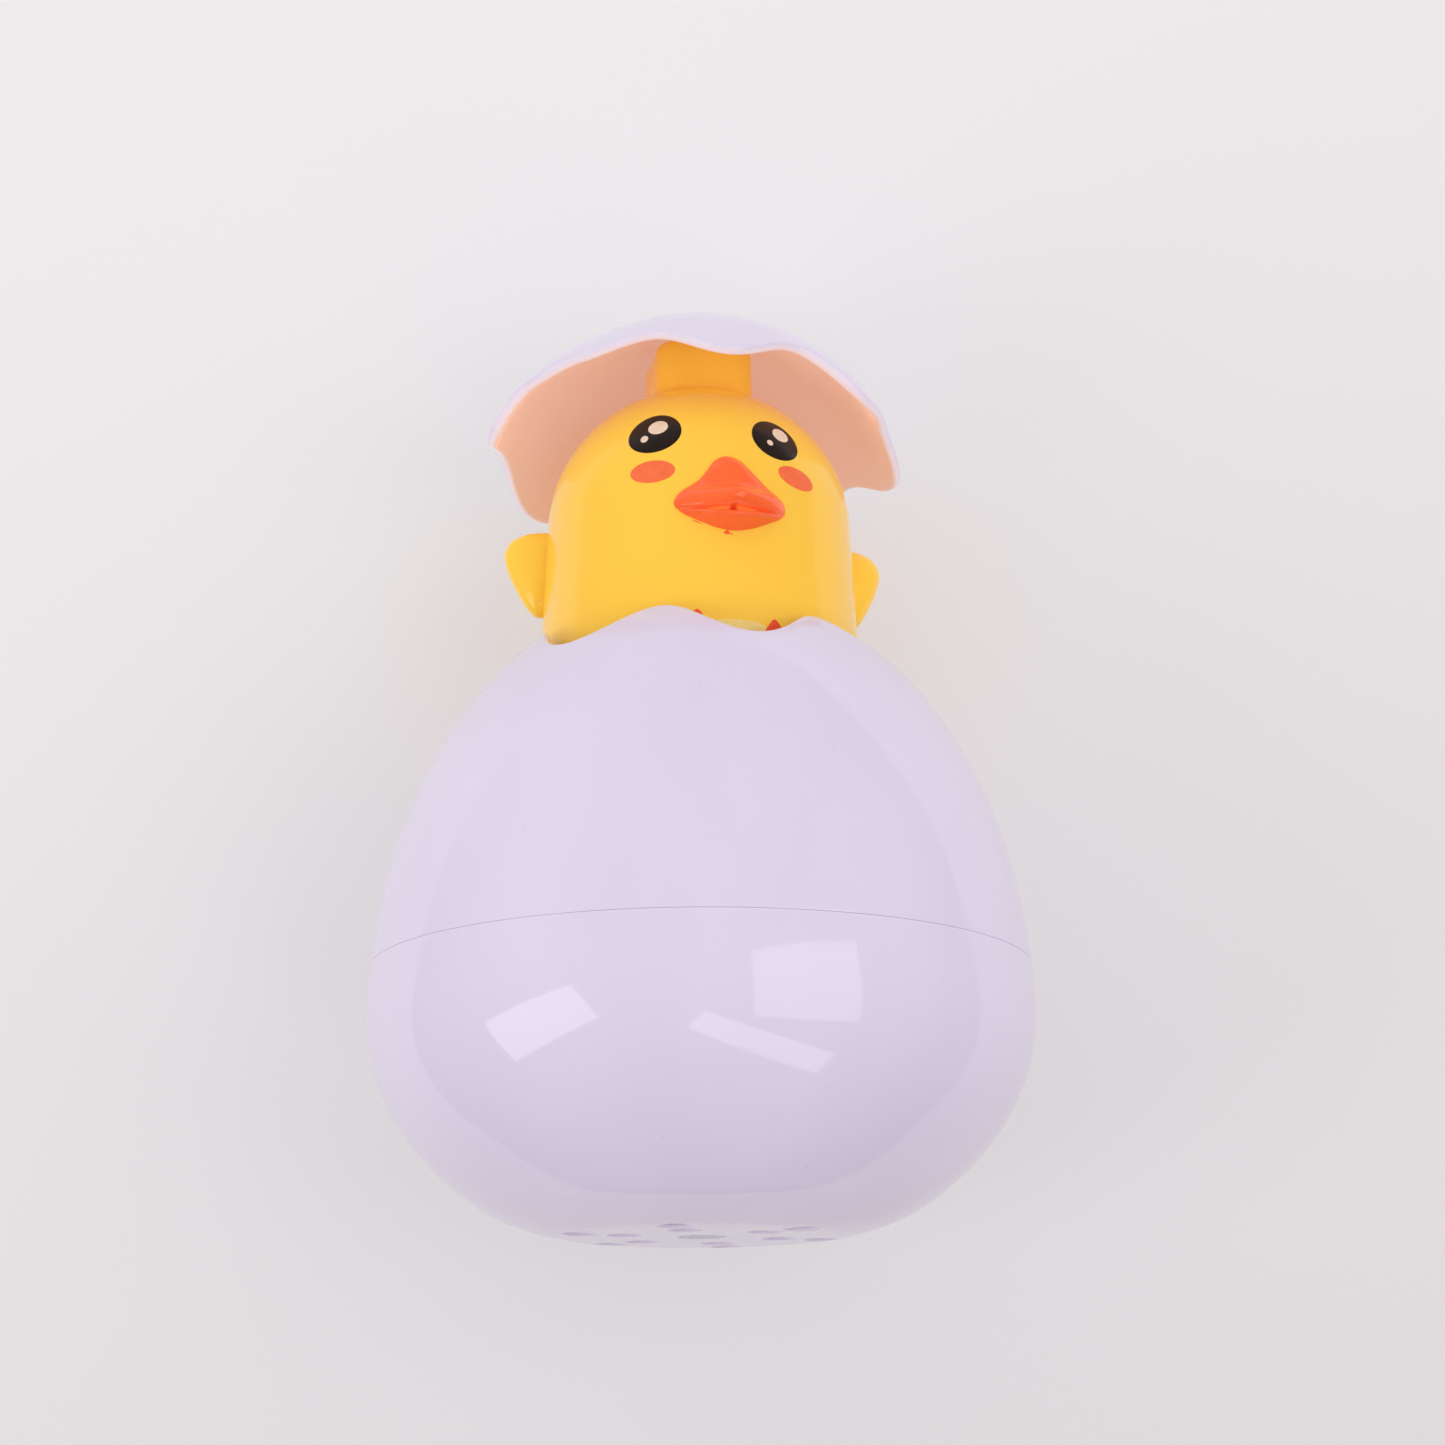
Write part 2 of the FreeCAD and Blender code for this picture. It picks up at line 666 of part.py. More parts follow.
def cap_shell():
    """The broken-off top of the egg, with a boss that sits on the chick's neck."""
    dome = cut("cap_dome", ellipsoid("cap_outer", "cap_radius", "cap_rise", "cap_centre"),
               ellipsoid("cap_inner", "cap_radius_inner", "cap_rise_inner", "cap_centre"))
    blank = common("cap_blank", dome, slab("cap_slab", "cap_blank_bottom",
                                           "cap_centre + cap_rise + cut_margin"))
    rim = cut("cap_rim", blank, wave_tool("cap_wave_tool", cap_rim_height, -size("trim_depth")))
    boss = cylinder("cap_boss", "cap_boss_radius", "neck_top", "cap_boss_top")
    pilot = cylinder("cap_pilot", "cap_screw_radius", "neck_top - cut_margin", "cap_pilot_top")
    item = cut("cap_shell", fuse("cap_full", rim, boss), pilot)
    item.Label = "cap_shell"
    return item


def single_screws():
    post_screw = screw_body("post_screw", "screw_recess_depth - screw_head_height",
                                "screw_head_radius", "screw_head_height", "screw_radius",
                                "post_screw_top")
    post_screw.Label = "post_screw"
    cap_screw = screw_body("cap_screw", "neck_top - body_wall - cap_screw_head_height",
                               "cap_screw_head_radius", "cap_screw_head_height",
                               "cap_screw_radius", "cap_screw_top")
    cap_screw.Label = "cap_screw"
    return [post_screw, cap_screw]


subparts = [
    lower_shell(), upper_shell(), guide_post(), chick_body(), wing("wing_left", 1),
    wing("wing_right", -1), carrier_plate(), foam_float(), squirt_tube(), plate_screws(),
    cap_shell(),
] + single_screws()
doc.recompute()

for item in doc.Objects:
    if "Invalid" in item.State or "Error" in item.State:
        raise RuntimeError(f"{item.Name} failed: {item.State}")

os.makedirs("parts", exist_ok=True)
for item in subparts:
    shape = item.Shape
    if shape.isNull() or not shape.isValid() or not shape.Solids:
        raise RuntimeError(f"{item.Label} has no valid solid")
    shape.exportStep(f"parts/{item.Label}.step")
    box_of = shape.optimalBoundingBox()
    print(f"{item.Label:14s} solids {len(shape.Solids)}  volume {shape.Volume / 1000:8.3f} cm3  "
          f"x {box_of.XMin:7.2f} {box_of.XMax:7.2f}  y {box_of.YMin:7.2f} {box_of.YMax:7.2f}  "
          f"z {box_of.ZMin:7.2f} {box_of.ZMax:7.2f}")
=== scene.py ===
import math

import bmesh
import bpy
from mathutils import Matrix, Vector


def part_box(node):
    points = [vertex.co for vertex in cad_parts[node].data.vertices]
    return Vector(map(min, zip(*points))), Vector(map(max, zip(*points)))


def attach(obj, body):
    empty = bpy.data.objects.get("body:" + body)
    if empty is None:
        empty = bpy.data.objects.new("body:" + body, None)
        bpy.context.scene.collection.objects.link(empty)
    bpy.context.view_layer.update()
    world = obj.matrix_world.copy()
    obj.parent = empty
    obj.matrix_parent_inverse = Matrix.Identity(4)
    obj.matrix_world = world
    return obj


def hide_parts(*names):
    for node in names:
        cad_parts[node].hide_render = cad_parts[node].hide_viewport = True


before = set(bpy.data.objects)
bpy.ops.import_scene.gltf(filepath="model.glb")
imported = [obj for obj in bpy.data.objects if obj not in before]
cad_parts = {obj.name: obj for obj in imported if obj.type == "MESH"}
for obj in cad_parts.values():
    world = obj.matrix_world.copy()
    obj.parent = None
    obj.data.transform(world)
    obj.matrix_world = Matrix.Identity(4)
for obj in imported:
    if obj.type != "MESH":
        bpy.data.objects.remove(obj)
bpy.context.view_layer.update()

# A hatching-chick bath toy: an egg with a wavy mouth, a chick that slides up out of it, and the
# egg's broken top worn as a cap. Lengths are in millimetres and azimuths in degrees, measured from
# the front (-Y) towards the chick's left side (+X); a mesh's points are in metres.

MM = 0.001


def high(node, axis):
    """The highest coordinate of a CAD node along one axis."""
    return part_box(node)[1][axis] / MM


def low(node, axis):
    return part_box(node)[0][axis] / MM


# Egg shell: two half ellipses that meet at the belly
EGG_RADIUS = high("lower_shell", 0)
EGG_WALL = 2.0
EGG_INNER_RADIUS = EGG_RADIUS - EGG_WALL
BELLY_HEIGHT = 31.0
CROWN_RISE = 64.5
CROWN_RISE_INNER = 63.6
BASE_DROP = 35.7
BASE_DROP_INNER = 33.6
FLOOR_TOP = 2.2
FLOOR_MIDDLE = 10.0
BASE_FLAT = 18.3
BASE_ROUND = 3.4
SEAM_HEIGHT = low("upper_shell", 2)
SEAM_BEVEL = 0.10
SEAM_GAP = 0.01

# The lower shell's tongue, which stands up inside the upper shell
TONGUE_RADIUS = 45.15
TONGUE_INNER_RADIUS = 43.8
TONGUE_ROOT = 32.5
TONGUE_TOP = high("lower_shell", 2)
TONGUE_ROUND = 0.3

# The wavy mouth, with deeper notches where the wings pass
MOUTH_MIDDLE = 82.4
MOUTH_WAVE = 2.7
MOUTH_LOBES = 7
MOUTH_TURN = 4.0
WING_ANGLE = 99.0
WING_NOTCH_DEPTH = 3.2
WING_NOTCH_SPREAD = 13.0

# Water holes
HOLE_RADIUS = 2.2
HOLE_BEVEL = 0.35
HOLE_RINGS = (18.0, 11.5)
HOLE_COUNT = 6
HOLE_TURN = -21.8
HOLE_SIDES = 40
CUT_MARGIN = 1.0
SCREW_RECESS_RADIUS = 3.2
SCREW_RECESS_DEPTH = 1.2

# Chick: a hollow body, a dome for its head and a square neck
CHICK_FOOT = low("chick_body", 2)
CHICK_FOOT_RADIUS = high("chick_body", 0)
HEAD_RADIUS = 22.9
HEAD_CENTRE = 104.9
HEAD_RISE = 22.1
BELLY_EASE = 0.025
CHICK_WALL = 1.6
NECK_HALF = 7.4
NECK_CORNER = 3.0
NECK_TOP = high("chick_body", 2)
NECK_FILLET = 1.3
NECK_TOP_ROUND = 2.2
NECK_INNER_STEP = 0.5

# A collar round the cap's boss
COLLAR_RISE = 1.5
COLLAR_RADIUS = 5.2

# Cap: an ellipsoid's top, with a wavy rim given as azimuth and height
CAP_CENTRE = 80.0
CAP_RADIUS = 40.4
CAP_INNER_RADIUS = 38.9
CAP_RISE = high("cap_shell", 2) - CAP_CENTRE
CAP_RISE_INNER = 57.5
CAP_BOSS_RADIUS = 5.0
CAP_BOSS_FILLET = 1.6
CAP_BOSS_ROUND = 0.3
CAP_RIM = [
    (0, 123.5), (25, 126.8), (55, 120.4), (72, 121.0), (93, 115.4), (115, 118.9), (140, 114.5),
    (160, 117.0), (180, 114.6), (201, 117.2), (224, 114.3), (254, 119.4), (271, 117.6),
    (290, 123.4), (308, 125.0), (333, 127.5),
]

# The cap has sprung open: shares of its radius, with the height and azimuth where each is largest
CAP_FLARE = 0.03
CAP_FLARE_HEIGHT = 130.0
CAP_FLARE_SPREAD = 7.0
CAP_SIDE_FLARE = 0.09
CAP_SIDE_FLARE_HEIGHT = 124.0
CAP_SIDE_FLARE_SPREAD = 9.0
CAP_SIDE_FLARE_ANGLE = 274.0
CAP_SIDE_FLARE_TURN = 38.0

COLUMNS = 360


def place(azimuth, radius, height):
    """The point at an azimuth, a distance from the egg's axis and a height, in metres."""
    angle = math.radians(azimuth)
    return Vector((radius * math.sin(angle), -radius * math.cos(angle), height)) * MM


def azimuth_of(spot):
    """The azimuth of a point, from -180 to 180."""
    return math.degrees(math.atan2(spot.x, -spot.y))


def steps(start, end, count):
    """Evenly spaced values from start to end, both included."""
    return [start + (end - start) * number / (count - 1) for number in range(count)]


def bend(start, corner, end, count):
    """Points on a smooth curve from start to end that is pulled towards the corner."""
    points = []
    for share in steps(0, 1, count):
        near, far = (1 - share) ** 2, share ** 2
        middle = 2 * share * (1 - share)
        points.append(tuple(near * a + middle * b + far * c
                            for a, b, c in zip(start, corner, end)))
    return points


def bump(value, middle, spread):
    """A bell curve, 1 at its middle."""
    return math.exp(-((value - middle) / spread) ** 2)


# ---- mesh building ---------------------------------------------------------------------------

def grid_mesh(name, columns, closed_rows=False, sharp_angle=38):
    """A mesh from columns of points, joined side by side and round to the first column again."""
    rows = len(columns[0])
    points = [point for column in columns for point in column]
    faces = []
    for number in range(len(columns)):
        here = number * rows
        there = (number + 1) % len(columns) * rows
        for row in range(rows if closed_rows else rows - 1):
            above = (row + 1) % rows
            faces.append((here + row, there + row, there + above, here + above))
    mesh = bpy.data.meshes.new(name)
    mesh.from_pydata(points, [], faces)
    piece = bpy.data.objects.new(name, mesh)
    bpy.context.scene.collection.objects.link(piece)
    clean(piece, sharp_angle)
    return piece


def clean(piece, sharp_angle):
    """Weld equal points, point every face outwards and shade smooth up to an angle."""
    shape = bmesh.new()
    shape.from_mesh(piece.data)
    bmesh.ops.remove_doubles(shape, verts=shape.verts, dist=1e-7)
    bmesh.ops.dissolve_degenerate(shape, edges=shape.edges, dist=1e-8)
    bmesh.ops.recalc_face_normals(shape, faces=shape.faces)
    shape.to_mesh(piece.data)
    shape.free()
    piece.data.shade_smooth()
    piece.data.set_sharp_from_angle(angle=math.radians(sharp_angle))


def turned_mesh(name, section_at, columns=COLUMNS, closed_rows=False):
    """A mesh round the egg's axis; section_at(azimuth) lists its radius and height points."""
    grid = []
    for number in range(columns):
        azimuth = 360 * number / columns
        grid.append([place(azimuth, radius, height) for radius, height in section_at(azimuth)])
    return grid_mesh(name, grid, closed_rows)


def mark_points(piece, name, share_at):
    """Store a value from 0 to 1 at each point of a piece, for its material to read."""
    marks = piece.data.attributes.new(name, "FLOAT", "POINT")
    marks.data.foreach_set("value", [share_at(vertex.co / MM) for vertex in piece.data.vertices])


def finish_piece(piece, body, slot, material, *nodes):
    """Give a piece its material, tie it to its body and hide the CAD nodes it stands for; slot is
    not used.
    """
    piece.data.materials.clear()
    piece.data.materials.append(material)
    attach(piece, body)
    if nodes:
        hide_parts(*nodes)
    return piece


# ---- egg and cap outlines --------------------------------------------------------------------

def ellipse_radius(height, centre, rise, radius):
    share = min(1.0, abs(height - centre) / rise)
    return radius * math.sqrt(1 - share * share)


def egg_outer(height):
    rise = CROWN_RISE if height > BELLY_HEIGHT else BASE_DROP
    return ellipse_radius(height, BELLY_HEIGHT, rise, EGG_RADIUS)


def egg_inner(height):
    rise = CROWN_RISE_INNER if height > BELLY_HEIGHT else BASE_DROP_INNER
    return ellipse_radius(height, BELLY_HEIGHT, rise, EGG_INNER_RADIUS)


def cap_outer(height):
    return ellipse_radius(height, CAP_CENTRE, CAP_RISE, CAP_RADIUS)


def cap_inner(height):
    return ellipse_radius(height, CAP_CENTRE, CAP_RISE_INNER, CAP_INNER_RADIUS)


def mouth_height(azimuth):
    """The mouth's rim: even lobes, with a deeper notch where each wing passes."""
    wave = math.cos(math.radians(MOUTH_LOBES * (azimuth - MOUTH_TURN)))
    height = MOUTH_MIDDLE - MOUTH_WAVE * wave
    for wing in (WING_ANGLE, 360 - WING_ANGLE):
        away = (azimuth - wing) / WING_NOTCH_SPREAD
        height -= WING_NOTCH_DEPTH * math.exp(-away * away)
    return height


def cap_rim_height(azimuth):
    """The cap's rim: a smooth step from each listed point to the next."""
    points = CAP_RIM + [(360, CAP_RIM[0][1])]
    for (start, before), (end, after) in zip(points, points[1:]):
        if start <= azimuth < end:
            share = (azimuth - start) / (end - start)
            return before + (after - before) * (1 - math.cos(math.pi * share)) / 2
    return CAP_RIM[0][1]


LIP_REACH = 0.5
LIP_POWER = 0.72


def squared(part):
    """Part of a unit circle's point, pushed out towards a square for a fuller edge."""
    return math.copysign(abs(part) ** LIP_POWER, part)


def lip(outer, inner, rim, side, count=13):
    """Points over a wall's rounded edge, from its outer to its inner face; side is 1 for a top
    edge and -1 for a bottom edge. LIP_REACH is how far back the wall's slope is taken."""
    before = rim - side * LIP_REACH
    slope = (outer(rim) + inner(rim) - outer(before) - inner(before)) / 2
    along = Vector((slope, side * LIP_REACH)).normalized()
    across = Vector((along.y, -along.x)) * side
    half = (outer(rim) - inner(rim)) / 2 * abs(along.y)
    base = rim - side * half * abs(along.y)
    centre = Vector(((outer(base) + inner(base)) / 2, base))
    points = []
    for angle in steps(0, math.pi, count):
        sideways, forward = squared(math.cos(angle)), squared(math.sin(angle))
        points.append(tuple(centre + across * half * sideways + along * half * forward))
    return points


# ---- egg -------------------------------------------------------------------------------------

def upper_shell_section(azimuth):
    """Up the outside from the seam, over the lip, down the inside and back under the seam edge."""
    edge = lip(egg_outer, egg_inner, mouth_height(azimuth), 1)
    bottom = SEAM_HEIGHT + SEAM_GAP
    start = bottom + SEAM_BEVEL
    seam = bend((egg_outer(bottom) - SEAM_BEVEL, bottom), (egg_outer(bottom), bottom),
                (egg_outer(start), start), 5)
    outside = [(egg_outer(height), height) for height in steps(start, edge[0][1], 56)[1:-1]]
    inside = [(egg_inner(height), height) for height in steps(edge[-1][1], bottom, 36)[1:]]
    return seam + outside + edge + inside


def lower_shell_section(azimuth):
    """From the middle of the base out and up the outside, over the tongue, and down to the floor."""
    top = SEAM_HEIGHT - SEAM_GAP
    start = top - SEAM_BEVEL
    corner = egg_outer(0)
    tip = TONGUE_TOP - TONGUE_ROUND
    points = [(radius, 0.0) for radius in steps(0, BASE_FLAT, 8)[:-1]]
    points += bend((BASE_FLAT, 0), (corner, 0), (egg_outer(BASE_ROUND), BASE_ROUND), 16)
    turn = math.asin((BELLY_HEIGHT - BASE_ROUND) / BASE_DROP)
    for angle in steps(turn, 0, 40)[1:]:
        points.append((EGG_RADIUS * math.cos(angle), BELLY_HEIGHT - BASE_DROP * math.sin(angle)))
    points += [(egg_outer(height), height) for height in steps(BELLY_HEIGHT, start, 8)[1:-1]]
    points += bend((egg_outer(start), start), (egg_outer(top), top),
                   (egg_outer(top) - SEAM_BEVEL, top), 5)
    points += bend((TONGUE_RADIUS, top), (TONGUE_RADIUS, top), (TONGUE_RADIUS, tip), 3)
    points += bend((TONGUE_RADIUS, tip), (TONGUE_RADIUS, TONGUE_TOP),
                   (TONGUE_RADIUS - TONGUE_ROUND, TONGUE_TOP), 4)[1:]
    points += bend((TONGUE_INNER_RADIUS + TONGUE_ROUND, TONGUE_TOP),
                   (TONGUE_INNER_RADIUS, TONGUE_TOP), (TONGUE_INNER_RADIUS, tip), 4)
    points += [(TONGUE_INNER_RADIUS, TONGUE_ROOT), (egg_inner(TONGUE_ROOT), TONGUE_ROOT)]
    turn = math.asin((BELLY_HEIGHT - FLOOR_TOP) / BASE_DROP_INNER)
    for angle in steps(0, turn, 24):
        points.append((EGG_INNER_RADIUS * math.cos(angle),
                       BELLY_HEIGHT - BASE_DROP_INNER * math.sin(angle)))
    return points + [(FLOOR_MIDDLE, FLOOR_TOP), (0.0, FLOOR_TOP)]


def hole_cutter(x, y, radius, top):
    """A round tool with a flared foot, which cuts one hole and bevels its lower edge."""
    foot = radius + HOLE_BEVEL + CUT_MARGIN
    section = [(0, -CUT_MARGIN), (foot, -CUT_MARGIN), (radius, HOLE_BEVEL), (radius, top), (0, top)]
    columns = []
    for number in range(HOLE_SIDES):
        columns.append([place(360 * number / HOLE_SIDES, out, height) + Vector((x, y, 0)) * MM
                        for out, height in section])
    return grid_mesh("cutter", columns)


def cut_base_holes(shell):
    """Cut two rings of water holes and the screw's recess through the floor."""
    tools = []
    for ring in HOLE_RINGS:
        for number in range(HOLE_COUNT):
            spot = place(HOLE_TURN + 360 * number / HOLE_COUNT, ring, 0) / MM
            tools.append(hole_cutter(spot.x, spot.y, HOLE_RADIUS, FLOOR_TOP + CUT_MARGIN))
    tools.append(hole_cutter(0, 0, SCREW_RECESS_RADIUS, SCREW_RECESS_DEPTH))
    whole = bmesh.new()
    for tool in tools:
        whole.from_mesh(tool.data)
        bpy.data.objects.remove(tool)
    mesh = bpy.data.meshes.new("cutters")
    whole.to_mesh(mesh)
    whole.free()
    cutters = bpy.data.objects.new("cutters", mesh)
    bpy.context.scene.collection.objects.link(cutters)
    cut = shell.modifiers.new("holes", "BOOLEAN")
    cut.operation = "DIFFERENCE"
    cut.solver = "EXACT"
    cut.object = cutters
    shaped = bpy.data.meshes.new_from_object(
        shell.evaluated_get(bpy.context.evaluated_depsgraph_get()))
    shell.modifiers.remove(cut)
    shell.data = shaped
    bpy.data.objects.remove(cutters)
    clean(shell, 30)


# ---- cap -------------------------------------------------------------------------------------

def cap_flare(azimuth, height):
    """How much wider than its ellipsoid the broken-off cap has sprung, most at its right side."""
    all_round = CAP_FLARE * bump(height, CAP_FLARE_HEIGHT, CAP_FLARE_SPREAD)
    side = CAP_SIDE_FLARE * bump(height, CAP_SIDE_FLARE_HEIGHT, CAP_SIDE_FLARE_SPREAD)
    return 1 + all_round + side * bump(azimuth, CAP_SIDE_FLARE_ANGLE, CAP_SIDE_FLARE_TURN)


def cap_section(azimuth):
    """From the crown down the outside, round the lip, up the inside and round the boss."""
    edge = lip(cap_outer, cap_inner, cap_rim_height(azimuth), -1)
    end = math.acos(min(1, (edge[0][1] - CAP_CENTRE) / CAP_RISE))
    outside = [(CAP_RADIUS * math.sin(angle), CAP_CENTRE + CAP_RISE * math.cos(angle))
               for angle in steps(0, end, 48)[:-1]]
    root = CAP_BOSS_RADIUS + CAP_BOSS_FILLET
    start = math.acos(min(1, (edge[-1][1] - CAP_CENTRE) / CAP_RISE_INNER))
    stop = math.asin(root / CAP_INNER_RADIUS)
    inside = [(CAP_INNER_RADIUS * math.sin(angle), CAP_CENTRE + CAP_RISE_INNER * math.cos(angle))
              for angle in steps(start, stop, 36)[1:]]
    top = inside[-1][1]
    boss = bend(inside[-1], (CAP_BOSS_RADIUS, top), (CAP_BOSS_RADIUS, top - CAP_BOSS_FILLET), 6)[1:]
    boss += bend((CAP_BOSS_RADIUS, NECK_TOP + CAP_BOSS_ROUND), (CAP_BOSS_RADIUS, NECK_TOP),
                 (CAP_BOSS_RADIUS - CAP_BOSS_ROUND, NECK_TOP), 4)
    section = outside + edge + inside + boss + [(0, NECK_TOP)]
    return [(radius * cap_flare(azimuth, height), height) for radius, height in section]


def inside_share(spot):
    """0 on the cap's outer face and 1 on its inner face, with a soft step over the lip."""
    azimuth = azimuth_of(spot) % 360
    radius = math.hypot(spot.x, spot.y) / cap_flare(azimuth, spot.z)
    outer, inner = cap_outer(spot.z), cap_inner(spot.z)
    if outer == inner:
        return 1.0
    return max(0.0, min(1.0, (outer - radius) / (outer - inner)))


# ---- chick -----------------------------------------------------------------------------------

def neck_radius(azimuth, half, corner):
    """Distance from the axis to the side of a square with rounded corners."""
    turn = math.radians(abs((azimuth + 45) % 90 - 45))
    flat = half - corner
    if turn <= math.atan2(flat, half):
        return half / math.cos(turn)
    lean = flat * (math.cos(turn) + math.sin(turn))
    return lean + math.sqrt(max(0, lean * lean - 2 * flat * flat + corner * corner))


def dome_height(radius, inset):
    """Height of the head's dome at a distance from the axis."""
    share = radius / (HEAD_RADIUS - inset)
    return HEAD_CENTRE + (HEAD_RISE - inset) * math.sqrt(max(0, 1 - share * share))


def drum_radius(height):
    """The chick's body below the head's middle: wider at the foot, with a slight belly."""
    share = (height - CHICK_FOOT) / (HEAD_CENTRE - CHICK_FOOT)
    share += BELLY_EASE * math.sin(2 * math.pi * share)
    return CHICK_FOOT_RADIUS + (HEAD_RADIUS - CHICK_FOOT_RADIUS) * share


def skin_rise(inset, root):
    """The drum and the dome, from the foot up to where the neck's fillet starts."""
    waist = HEAD_RADIUS - inset
    points = [(drum_radius(height) - inset, height)
              for height in steps(CHICK_FOOT, HEAD_CENTRE, 22)]
    end = math.acos(root / waist)
    points += [(waist * math.cos(angle), HEAD_CENTRE + (HEAD_RISE - inset) * math.sin(angle))
               for angle in steps(0, end, 44)[1:]]
    return points


def chick_section(azimuth):
    """The chick's wall: from the collar's middle down the outside, and up the inside again."""
    half = neck_radius(azimuth, NECK_HALF, NECK_CORNER)
    root = half + NECK_FILLET
    level = dome_height(half, 0)
    shrink = (half - NECK_TOP_ROUND) / half
    outside = skin_rise(0, root)
    outside += bend(outside[-1], (half, level), (half, level + NECK_FILLET), 7)[1:]
    top = NECK_TOP + COLLAR_RISE
    outside += [(half, height)
                for height in steps(level + NECK_FILLET, top - NECK_TOP_ROUND, 6)[1:]]
    outside += bend((half, top - NECK_TOP_ROUND), (half, top), (half * shrink, top), 9)[1:]
    outside += [(COLLAR_RADIUS, top), (COLLAR_RADIUS, NECK_TOP), (0, NECK_TOP)]
    thin = neck_radius(azimuth, NECK_HALF - CHICK_WALL, NECK_CORNER / 2)
    ceiling = NECK_TOP - CHICK_WALL
    inside = skin_rise(CHICK_WALL, thin + NECK_INNER_STEP)
    inside += [(thin, inside[-1][1] + NECK_INNER_STEP), (thin, ceiling), (0, ceiling)]
    return list(reversed(outside)) + inside


def skin_point(azimuth, height, lift=0.0):
    """A point on the chick's skin, or off it by lift; a negative lift is under the skin."""
    if height <= HEAD_CENTRE:
        return place(azimuth, drum_radius(height) + lift, height)
    rise = height - HEAD_CENTRE
    radius = ellipse_radius(height, HEAD_CENTRE, HEAD_RISE, HEAD_RADIUS)
    normal = Vector((radius / HEAD_RADIUS ** 2, rise / HEAD_RISE ** 2)).normalized()
    return place(azimuth, radius + lift * normal.x, height + lift * normal.y)


def skin_degrees(height):
    """Degrees of azimuth that one millimetre across the skin takes at a height."""
    return math.degrees(1 / ellipse_radius(max(height, HEAD_CENTRE), HEAD_CENTRE, HEAD_RISE,
                                           HEAD_RADIUS))


def closed_curve(points, count):
    """A smooth closed curve through the points, sampled evenly between them."""
    curve = []
    total = len(points)
    for number in range(count):
        whole = number * total / count
        index = int(whole)
        share = whole - index
        before, start, end, after = (Vector(points[(index + step) % total]) for step in
                                     (-1, 0, 1, 2))
        curve.append(0.5 * (2 * start + (end - before) * share
                            + (2 * before - 5 * start + 4 * end - after) * share ** 2
                            + (3 * start - before - 3 * end + after) * share ** 3))
    return curve


def oval(half_width, half_height, tilt=0.0, count=72):
    """An ellipse about its middle, turned clockwise as seen from the front."""
    turn = Matrix.Rotation(math.radians(-tilt), 2)
    return [turn @ Vector((half_width * math.cos(angle), half_height * math.sin(angle)))
            for angle in steps(0, 2 * math.pi, count + 1)[:-1]]


# a patch of ink: its underside's depth in the skin, and its round edge as shares of its outline
# and of its lift
INK_DEPTH = 0.05
INK_FLAT = 0.97
INK_EDGE = [(0.99, 0.8), (1.0, 0.3)]


def ink_patch(name, azimuth, height, outline, lift):
    """A thin closed patch that follows the skin, in the shape of an outline in millimetres."""
    across = skin_degrees(height)
    rows = [(share, lift) for share in steps(0, INK_FLAT, 9)]
    rows += [(share, lift * rise) for share, rise in INK_EDGE]
    rows += [(share, -INK_DEPTH) for share in (1.0, 0.5, 0.0)]
    columns = []
    for u, v in outline:
        columns.append([skin_point(azimuth + share * u * across, height + share * v, off)
                        for share, off in rows])
    return grid_mesh(name, columns, sharp_angle=60)


# ---- beak ------------------------------------------------------------------------------------

# the painted edge: millimetres across the skin from the front, and height
BEAK_EDGE = [
    (0.0, 108.9), (1.9, 108.3), (3.4, 106.9), (5.9, 104.6), (8.1, 103.0), (8.85, 101.5),
    (8.2, 100.2), (6.2, 99.1), (3.5, 97.9), (0.8, 97.35), (-1.8, 97.75), (-4.2, 98.75),
    (-6.6, 100.0), (-7.75, 101.5), (-6.9, 103.1), (-4.3, 104.9), (-3.0, 106.5), (-1.7, 108.2),
]
BEAK_MIDDLE = (0.5, 101.6)
BEAK_COLUMNS = 216
BEAK_ROWS = 90
BEAK_SINK = 0.03
BEAK_BACK = 0.8
BEAK_EDGE_ROUND = 1.6
BEAK_EDGE_RISE = 0.9

# the line between the lips, the groove along it, the bare slit in it and the pin hole
LINE_HEIGHT = 99.85
LINE_SAG = 0.8
LINE_HALF = 8.0
LINE_RUN_OUT = 2.5
GROOVE_DEPTH = 0.6
GROOVE_SPREAD = 0.24
SLIT_MIDDLE = 0.3
SLIT_HALF = 3.65
SLIT_RISE = 0.2
SLIT_ABOVE = 0.05
SLIT_BLUR = 0.1
PIN_HOLE = 0.288
PIN_HOLE_SLOPE = 0.13
PIN_HOLE_DEPTH = 2.2

# an oval swelling that holds both lips
LIPS_HALF_WIDTH = 8.6
LIPS_MIDDLE = 100.2
LIPS_HALF_HEIGHT = 3.7
LIPS_RISE = 0.8
LIPS_POWER = 0.7

# the lips' blunt prow; each lip is highest at a height over the line, and falls off by a spread
PROW_RISE = 3.0
PROW_SLOPE = 0.42
PROW_MIDDLE = 0.9
PROW_ROUND = 1.3
UPPER_LIP = 1.7
UPPER_LIP_SPREAD = 1.9
LOWER_LIP = -1.25
LOWER_LIP_SPREAD = 1.82
LOWER_LIP_SHARE = 0.72

# the ridge up the beak's top and the small knob on the upper lip
RIDGE_RISE = 1.0
RIDGE_HALF = 2.2
RIDGE_HEIGHT = 105.6
RIDGE_SPREAD = 2.6
KNOB_RISE = 0.5
KNOB_MIDDLE = 1.0
KNOB_HALF = 1.7
KNOB_ABOVE = 2.6
KNOB_SPREAD = 1.1


def mouth_line(u):
    """Height of the line between the lips, which sags in the middle."""
    return LINE_HEIGHT + LINE_SAG * min(1.2, abs(u - BEAK_MIDDLE[0]) / LINE_HALF) ** 2


